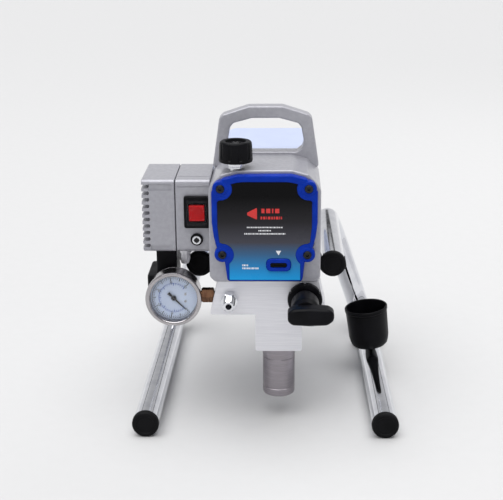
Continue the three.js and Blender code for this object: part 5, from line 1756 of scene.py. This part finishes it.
@dataclass
class Controls:
    """The pressure knob, the control box with its fins, the switch, the fuse, the gland and the cleat."""

    kit: Kit
    knob: Flat = (-32.5, 50.0)
    knob_radius: float = 19.2
    knob_bottom: float = 319.5
    knob_top: float = 343.0
    flutes: int = 10
    seam: float = -105.0
    left: float = -144.0
    right: float = -63.85
    front: float = 75.0
    back: float = 160.0
    bottom: float = 204.0
    top: float = 291.5
    fins: int = 11
    switch: Flat = (-79.6, 253.8)
    fuse: Flat = (-80.3, 220.5)
    cord: Flat = (-97.0, 97.0)
    shank_seat: float = 312.35

    def build(self) -> None:
        """Makes every control."""
        self.regulator()
        self.pressure_knob()
        self.box()
        self.fin_block()
        self.switch_frame()
        self.rocker()
        self.boot()
        self.fuse_holder()
        self.gland()
        self.cleat()

    def regulator(self) -> None:
        """The chromed shank under the knob, with a hexagon and two collars."""
        seat, end = self.shank_seat, self.knob_bottom - 1.2
        whole = Shaper("regulator_shank").turned(
            Z,
            [
                (7, 270.0), (7, seat), (9.4, seat), (10, seat + 0.5), (10, seat + 1.8), (9.2, seat + 2.1),
                (9.2, seat + 2.6), (10, seat + 3.0), (10, end - 0.6), (9.4, end), (4, end),
                (4, self.knob_bottom + 10)
            ],
            self.knob, 48
        )
        whole.done("frame", self.kit["chromed_steel"], "chromed_steel", ("pressure_regulator",))

    def pressure_knob(self) -> None:
        """The fluted knob with a dished top, and its screw."""
        b, t, r = self.knob_bottom, self.knob_top, self.knob_radius
        profile = [(r - 1.4, b), (r - 0.4, b + 0.5), (r, b + 1.8), (r - 0.6, t - 5.5)]
        profile += [
            (r - 0.9 - 2.6 * (1 - cos(a)), t - 3.2 + 3.2 * sin(a)) for a in (0.0, 0.4, 0.8, 1.2, pi / 2)
        ]
        profile += [(r - 6.6, t), (r - 7.4, t - 0.4), (r - 8.2, t - 3.0), (r - 9.0, t - 3.5), (5.5, t - 3.5)]
        whole = Shaper("knob_grip").turned(Z, profile, self.knob, 80)
        for i in range(self.flutes):
            a = 2 * pi * i / self.flutes
            spot = (self.knob[0] + (r + 2.1) * cos(a), self.knob[1] + (r + 2.1) * sin(a))
            whole.less(Shaper("flute").turned(Z, [(1.6, b + 2.2), (3.5, b + 4.4), (3.5, t + 2)], spot, 28))
        whole.less(Shaper("socket").rod(Z, 4.5, b - 2, b + 10.5, self.knob, 32))
        whole.less(Shaper("through").rod(Z, 2.0, b + 8, t + 2, self.knob, 24))
        whole.soften(0.45, 2, 38.0)
        whole.done("knob", self.kit["black_plastic"], "black_plastic", ("pressure_knob",))
        screw = Shaper("knob_screw_head").turned(
            Z,
            [
                (1.6, b + 10.8), (1.6, t - 3.15), (4.0, t - 3.15), (4.0, t - 2.2), (3.2, t - 1.4),
                (1.9, t - 1.2)
            ],
            self.knob, 32
        )
        screw.less(Shaper("hex").push(polygon(6, 1.7, *self.knob), Z, t - 2.4, t + 2))
        screw.done("knob", self.kit["black_screw"], "machined_steel", ("knob_screw",))

    def box(self) -> None:
        """The open-backed control box, bored for its fittings, with a groove below its top edge."""
        f, k, b, t = self.front, self.back, self.bottom, self.top
        left, right = self.seam + GAP, self.right
        whole = Shaper("control_case").push(
            rectangle(f, k, b, t, 6.0, 6), X, left, right
        ).soften(1.6, 3, 50.0)
        whole.less(Shaper("hollow").block(left - 5, right - 3, f + 3, k - 3, b + 3, t - 3))
        for x0, x1, y0, y1, z0, z1 in (
            (left - 2, right + 2, f - 2, f + 0.7, t - 8.6, t - 7.4),
            (left - 2, right + 2, f + 16, f + 17.2, t - 0.7, t + 2)
        ):
            whole.less(Shaper("groove").block(x0, x1, y0, y1, z0, z1))
        sx, sz = self.switch
        whole.less(Shaper("switch_hole").block(sx - 12, sx + 12, f - 5, f + 5, sz - 16.2, sz + 16.2))
        whole.less(Shaper("fuse_hole").rod(Y, 5.35, f - 5, f + 5, self.fuse, 32))
        whole.less(Shaper("gland_hole").rod(Z, 5.35, b - 5, b + 5, self.cord, 32))
        whole.done("frame", self.kit["cast_housing"], "cast_housing", ("control_box",))

    def fin_block(self) -> None:
        """The finned end of the box, with two shallow sunk strips in its front."""
        f, k, b, t = self.front, self.back, self.bottom, self.top
        right = self.seam - GAP
        whole = Shaper("fin_casting").push(rectangle(f, k, b, t, 6.0, 6), X, self.left, right)
        whole.soften(1.2, 3, 50.0)
        pitch = (t - b) / self.fins
        groove = Shaper("groove_0").push(
            rectangle(self.left - 6, self.left + 9, b + pitch * 0.72, b + pitch * 1.28, 1.6, 4), Y, f - 5,
            k + 5
        )
        grooves = [groove] + [
            groove.copied(f"groove_{i}", Vector((0, 0, pitch * i))) for i in range(1, self.fins - 1)
        ]
        whole.less(*grooves)
        whole.less(Shaper("hollow").block(self.left + 13, right + 5, f + 3, k - 3, b + 3, t - 3))
        whole.less(
            Shaper("upper_strip").push(
                rectangle(self.left + 8, right - 3.5, t - 12.5, t - 4.5, 1.2, 3), Y, f - 5, f + 1.6
            )
        )
        whole.less(
            Shaper("lower_strip").push(
                rectangle(self.left + 9, right - 4.5, b + 3, b + 8, 1.2, 3), Y, f - 5, f + 1.6
            )
        )
        whole.done("frame", self.kit["cast_housing"], "cast_housing", ("heat_sink",))

    def switch_frame(self) -> None:
        """The switch's black frame and body."""
        (x, z), back = self.switch, self.front - GAP
        whole = Shaper("switch_surround").push(
            oblong(self.switch, 15, 19.2, 3.2), Y, back - 5, back
        ).soften(1.2, 3, 50.0)
        whole.plus(Shaper("body").block(x - 11.5, x + 11.5, back - 1, back + 18, z - 15.7, z + 15.7))
        whole.less(Shaper("well").push(oblong(self.switch, 9.5, 11.2, 1.0, 3), Y, back - 8, back + 10))
        whole.done("frame", self.kit["black_plastic"], "black_plastic", ("switch_bezel",))

    def rocker(self) -> None:
        """The red rocker, pressed at one end."""
        (x, z), py = self.switch, self.front + 1.0
        section = [
            (-7.5, -9.2), (-6.9, -4.5), (-6.3, 0.0), (-6.9, 4.5), (-7.5, 9.2), (-7.0, 9.6), (0.0, 8.8),
            (3.0, 0.0), (0.0, -8.8), (-7.0, -9.6)
        ]
        c, s = cos(radians(9)), sin(radians(9))
        outline = [(py + a * c - b * s, z + a * s + b * c) for a, b in section]
        shape = Shaper("rocker_cap").push(outline, X, x - 9.0, x + 9.0).soften(0.6, 3, 35.0)
        shape.done("rocker", self.kit["red_rocker"], "red_rocker", ("switch_rocker",))

    def boot(self) -> None:
        """The clear splash boot over the rocker, a thin shell with cross ribs."""
        (x, z), back = self.switch, self.front - 5.35
        shell = Shaper("splash_boot").push(
            oblong(self.switch, 12.4, 14.6, 3.2), Y, back - 7.0, back + 0.3
        ).soften(2.2, 4, 50.0)
        shell.less(Shaper("inside").push(oblong(self.switch, 11.6, 13.8, 2.6), Y, back - 6.3, back + 2))
        rib = Shaper("boot_rib_0").push(
            rectangle(x - 10.6, x + 10.6, z - 11.2, z - 10.2, 0.45, 3), Y, back - 7.5, back - 6.8
        )
        ribs = [rib] + [rib.copied(f"boot_rib_{i}", Vector((0, 0, 3.2 * i))) for i in range(1, 8)]
        shell.plus(*ribs)
        shell.done("frame", self.kit["clear_boot"], "black_plastic")

    def fuse_holder(self) -> None:
        """The fuse cap: a flange, a bright ring and a crossed slot."""
        back = self.front - GAP
        x, z = self.fuse
        flange = Shaper("fuse_collar").turned(
            Y,
            [
                (6.4, back - 3.0), (7.3, back - 2.4), (7.5, back - 1.6), (7.5, back), (5.0, back),
                (5.0, back + 20)
            ],
            self.fuse, 48
        )
        cap = Shaper("fuse_knob").turned(
            Y, [(3.9, back - 6.0), (5.0, back - 5.6), (5.4, back - 4.8), (5.4, back - 2.0)], self.fuse, 48
        )
        cap.less(
            Shaper("slot").block(x - 3.6, x + 3.6, back - 8, back - 4.9, z - 0.6, z + 0.6),
            Shaper("cross").block(x - 0.6, x + 0.6, back - 8, back - 4.9, z - 3.6, z + 3.6)
        )
        flange.plus(cap)
        flange.done("frame", self.kit["chromed_steel"], "chromed_steel", ("fuse_cap",))
        washer = Shaper("fuse_washer").turned(
            Y,
            [
                (5.45, back - 3.5), (7.3, back - 3.1), (7.45, back - 2.2), (5.45, back - 2.2),
                (5.45, back - 3.5)
            ],
            self.fuse, 48
        )
        washer.done("frame", self.kit["black_plastic"], "black_plastic")
        core = Shaper("fuse_core").turned(
            Y, [(2.9, back - 6.15), (3.3, back - 5.9), (3.3, back - 5.0)], self.fuse, 36
        )
        core.less(Shaper("slot").block(x - 2.6, x + 2.6, back - 8, back - 5.7, z - 0.55, z + 0.55))
        core.done("frame", self.kit["black_screw"], "black_plastic")

    def gland(self) -> None:
        """The cord gland under the box with its ribbed nut."""
        top = self.bottom - GAP
        whole = Shaper("gland_body").turned(
            Z,
            [
                (2.5, top - 20), (4.4, top - 20), (5.0, top - 19), (6.5, top - 14), (6.5, top - 6),
                (8.0, top - 6), (8.0, top), (5.0, top), (5.0, top + 9), (2.5, top + 9), (2.5, top - 20)
            ],
            self.cord, 36
        )
        whole.done("frame", self.kit["pump_aluminium"], "pump_aluminium", ("cord_gland",))

    def cleat(self) -> None:
        """The moulded cleat under the box."""
        top = self.bottom - GAP
        whole = Shaper("lead_cleat").push(
            rectangle(-142.0, -106.5, 84.0, 140.0, 5.0, 6), Z, 150.0, 172.0
        ).soften(2.6, 4, 50.0)
        whole.plus(Shaper("neck").push(rectangle(-131.0, -106.5, 90.0, 134.0, 4.0, 5), Z, 160.0, top))
        whole.done("frame", self.kit["black_plastic"], "black_plastic", ("cord_cleat",))


# ---------- studio ----------


@dataclass(frozen=True)
class Lamp:
    """One soft rectangular light."""

    name: str
    at: Point
    aim: Point
    size: Flat
    watts: float

    def hang(self) -> None:
        """Adds the light, turned to its aim."""
        bpy.ops.object.select_all(action="DESELECT")
        bpy.ops.object.light_add(type="AREA", location=self.at)
        lamp = bpy.context.object
        lamp.name = self.name
        lamp.data.shape = "RECTANGLE"
        lamp.data.size, lamp.data.size_y = self.size
        lamp.data.energy = self.watts
        lamp.rotation_euler = (Vector(self.aim) - Vector(self.at)).to_track_quat("-Z", "Y").to_euler()


@dataclass
class Studio:
    """The pale floor, the soft lights and the camera."""

    kit: Kit
    eye: Point = (23.1, -1155.9, 603.5)
    pitch: float = 17.857
    yaw: float = 1.84
    roll: float = -0.471
    sensor: float = 36.0
    lens: float = 78.76342
    band: tuple[float, ...] = (0.262, 0.272, 0.290, 0.300, 0.60)
    shades: tuple[float, ...] = (0.72, 0.66, 0.06, 0.06, 0.55, 0.30, 0.42)
    sun: float = 3.55
    sun_spread: float = 75.0
    lamps: tuple[Lamp, ...] = (
        Lamp("key_light", (-1.4, -1.3, 2.2), (0.0, 0.0, 0.2), (1.4, 1.1), 3.0),
        Lamp("rim_light", (0.9, 1.3, 1.5), (0.0, 0.0, 0.25), (1.2, 0.8), 4.0),
    )

    def build(self) -> None:
        """Makes the floor, the sky, the lights and the camera."""
        shape = Shaper("studio_floor")
        shape.block(-6000, 6000, -6000, 6000, -8, 0)
        shape.solid().only()
        shape.piece.scale = (MM, MM, MM)
        bpy.ops.object.transform_apply(location=True, rotation=True, scale=True)
        shape.piece.data.materials.append(self.kit["studio_floor"])
        world = bpy.data.worlds.new("studio")
        bpy.context.scene.world = world
        world.use_nodes = True
        tree = world.node_tree
        ramp = tree.nodes.new("ShaderNodeValToRGB")
        ramp.color_ramp.elements[0].position, ramp.color_ramp.elements[1].position = 0.0, 1.0
        for where in self.band:
            ramp.color_ramp.elements.new(where)
        for stop, shade in zip(ramp.color_ramp.elements, self.shades):
            stop.color = (shade, shade, shade * 1.02, 1.0)
        split = tree.nodes.new("ShaderNodeSeparateXYZ")
        link(tree, tree.nodes.new("ShaderNodeTexCoord").outputs["Generated"], split.inputs[0])
        link(tree, split.outputs["Z"], ramp.inputs["Fac"])
        link(tree, ramp.outputs["Color"], tree.nodes["Background"].inputs["Color"])
        for lamp in self.lamps:
            lamp.hang()
        bpy.ops.object.select_all(action="DESELECT")
        bpy.ops.object.light_add(
            type="SUN", location=(0.0, 0.0, 3.0), rotation=(radians(8.0), radians(-6.0), 0.0)
        )
        overhead = bpy.context.object
        overhead.name = "overhead_light"
        overhead.data.energy = self.sun
        overhead.data.angle = radians(self.sun_spread)
        self.camera()
        bpy.context.scene.view_settings.view_transform = "Standard"

    def camera(self) -> None:
        """The camera at the standing viewpoint in front of the machine."""
        p, y, r = radians(self.pitch), radians(self.yaw), radians(self.roll)
        ahead = Vector((-sin(y) * cos(p), cos(y) * cos(p), -sin(p)))
        level = Vector((cos(y), sin(y), 0.0))
        upright = level.cross(ahead)
        right = level * cos(r) + upright * sin(r)
        up = upright * cos(r) - level * sin(r)
        bpy.ops.object.select_all(action="DESELECT")
        bpy.ops.object.camera_add()
        view = bpy.context.object
        view.name = "front_camera"
        view.matrix_world = Matrix((right, up, -ahead)).transposed().to_4x4()
        view.location = Vector(self.eye) * MM + Shaper.origin
        view.data.sensor_width = self.sensor
        view.data.lens = self.lens
        bpy.context.scene.camera = view


def origin_of_frame() -> Vector:
    """Where the modelling origin lies in the machine's frame, in metres: between the feet's fronts."""
    low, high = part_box("left_foot_plug")[0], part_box("right_foot_plug")[1]
    return Vector(((low.x + high.x) / 2, low.y, 0.0))


def dress_cad(frame: dict, kit: Kit) -> None:
    """Gives every CAD node its slot's finish.

    Args:
        kit: the finishes.
    """
    for part in frame["record"]["subparts"]:
        piece = frame["nodes"][part["node"]]
        piece.data.materials.clear()
        piece.data.materials.append(kit[part["material_slot"]])


def main() -> None:
    """Builds the whole scene in order."""
    logging.basicConfig(level=logging.INFO, format="%(message)s")
    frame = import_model()
    bpy.ops.object.select_all(action="DESELECT")
    Shaper.origin = origin_of_frame()
    kit = Kit()
    dress_cad(frame, kit)
    Studio(kit).build()
    for part in (Stand, Housing, Pump, Motor, Fittings, Controls):
        log.info("building %s", part.__name__)
        part(kit).build()


if __name__ == "__main__":
    main()
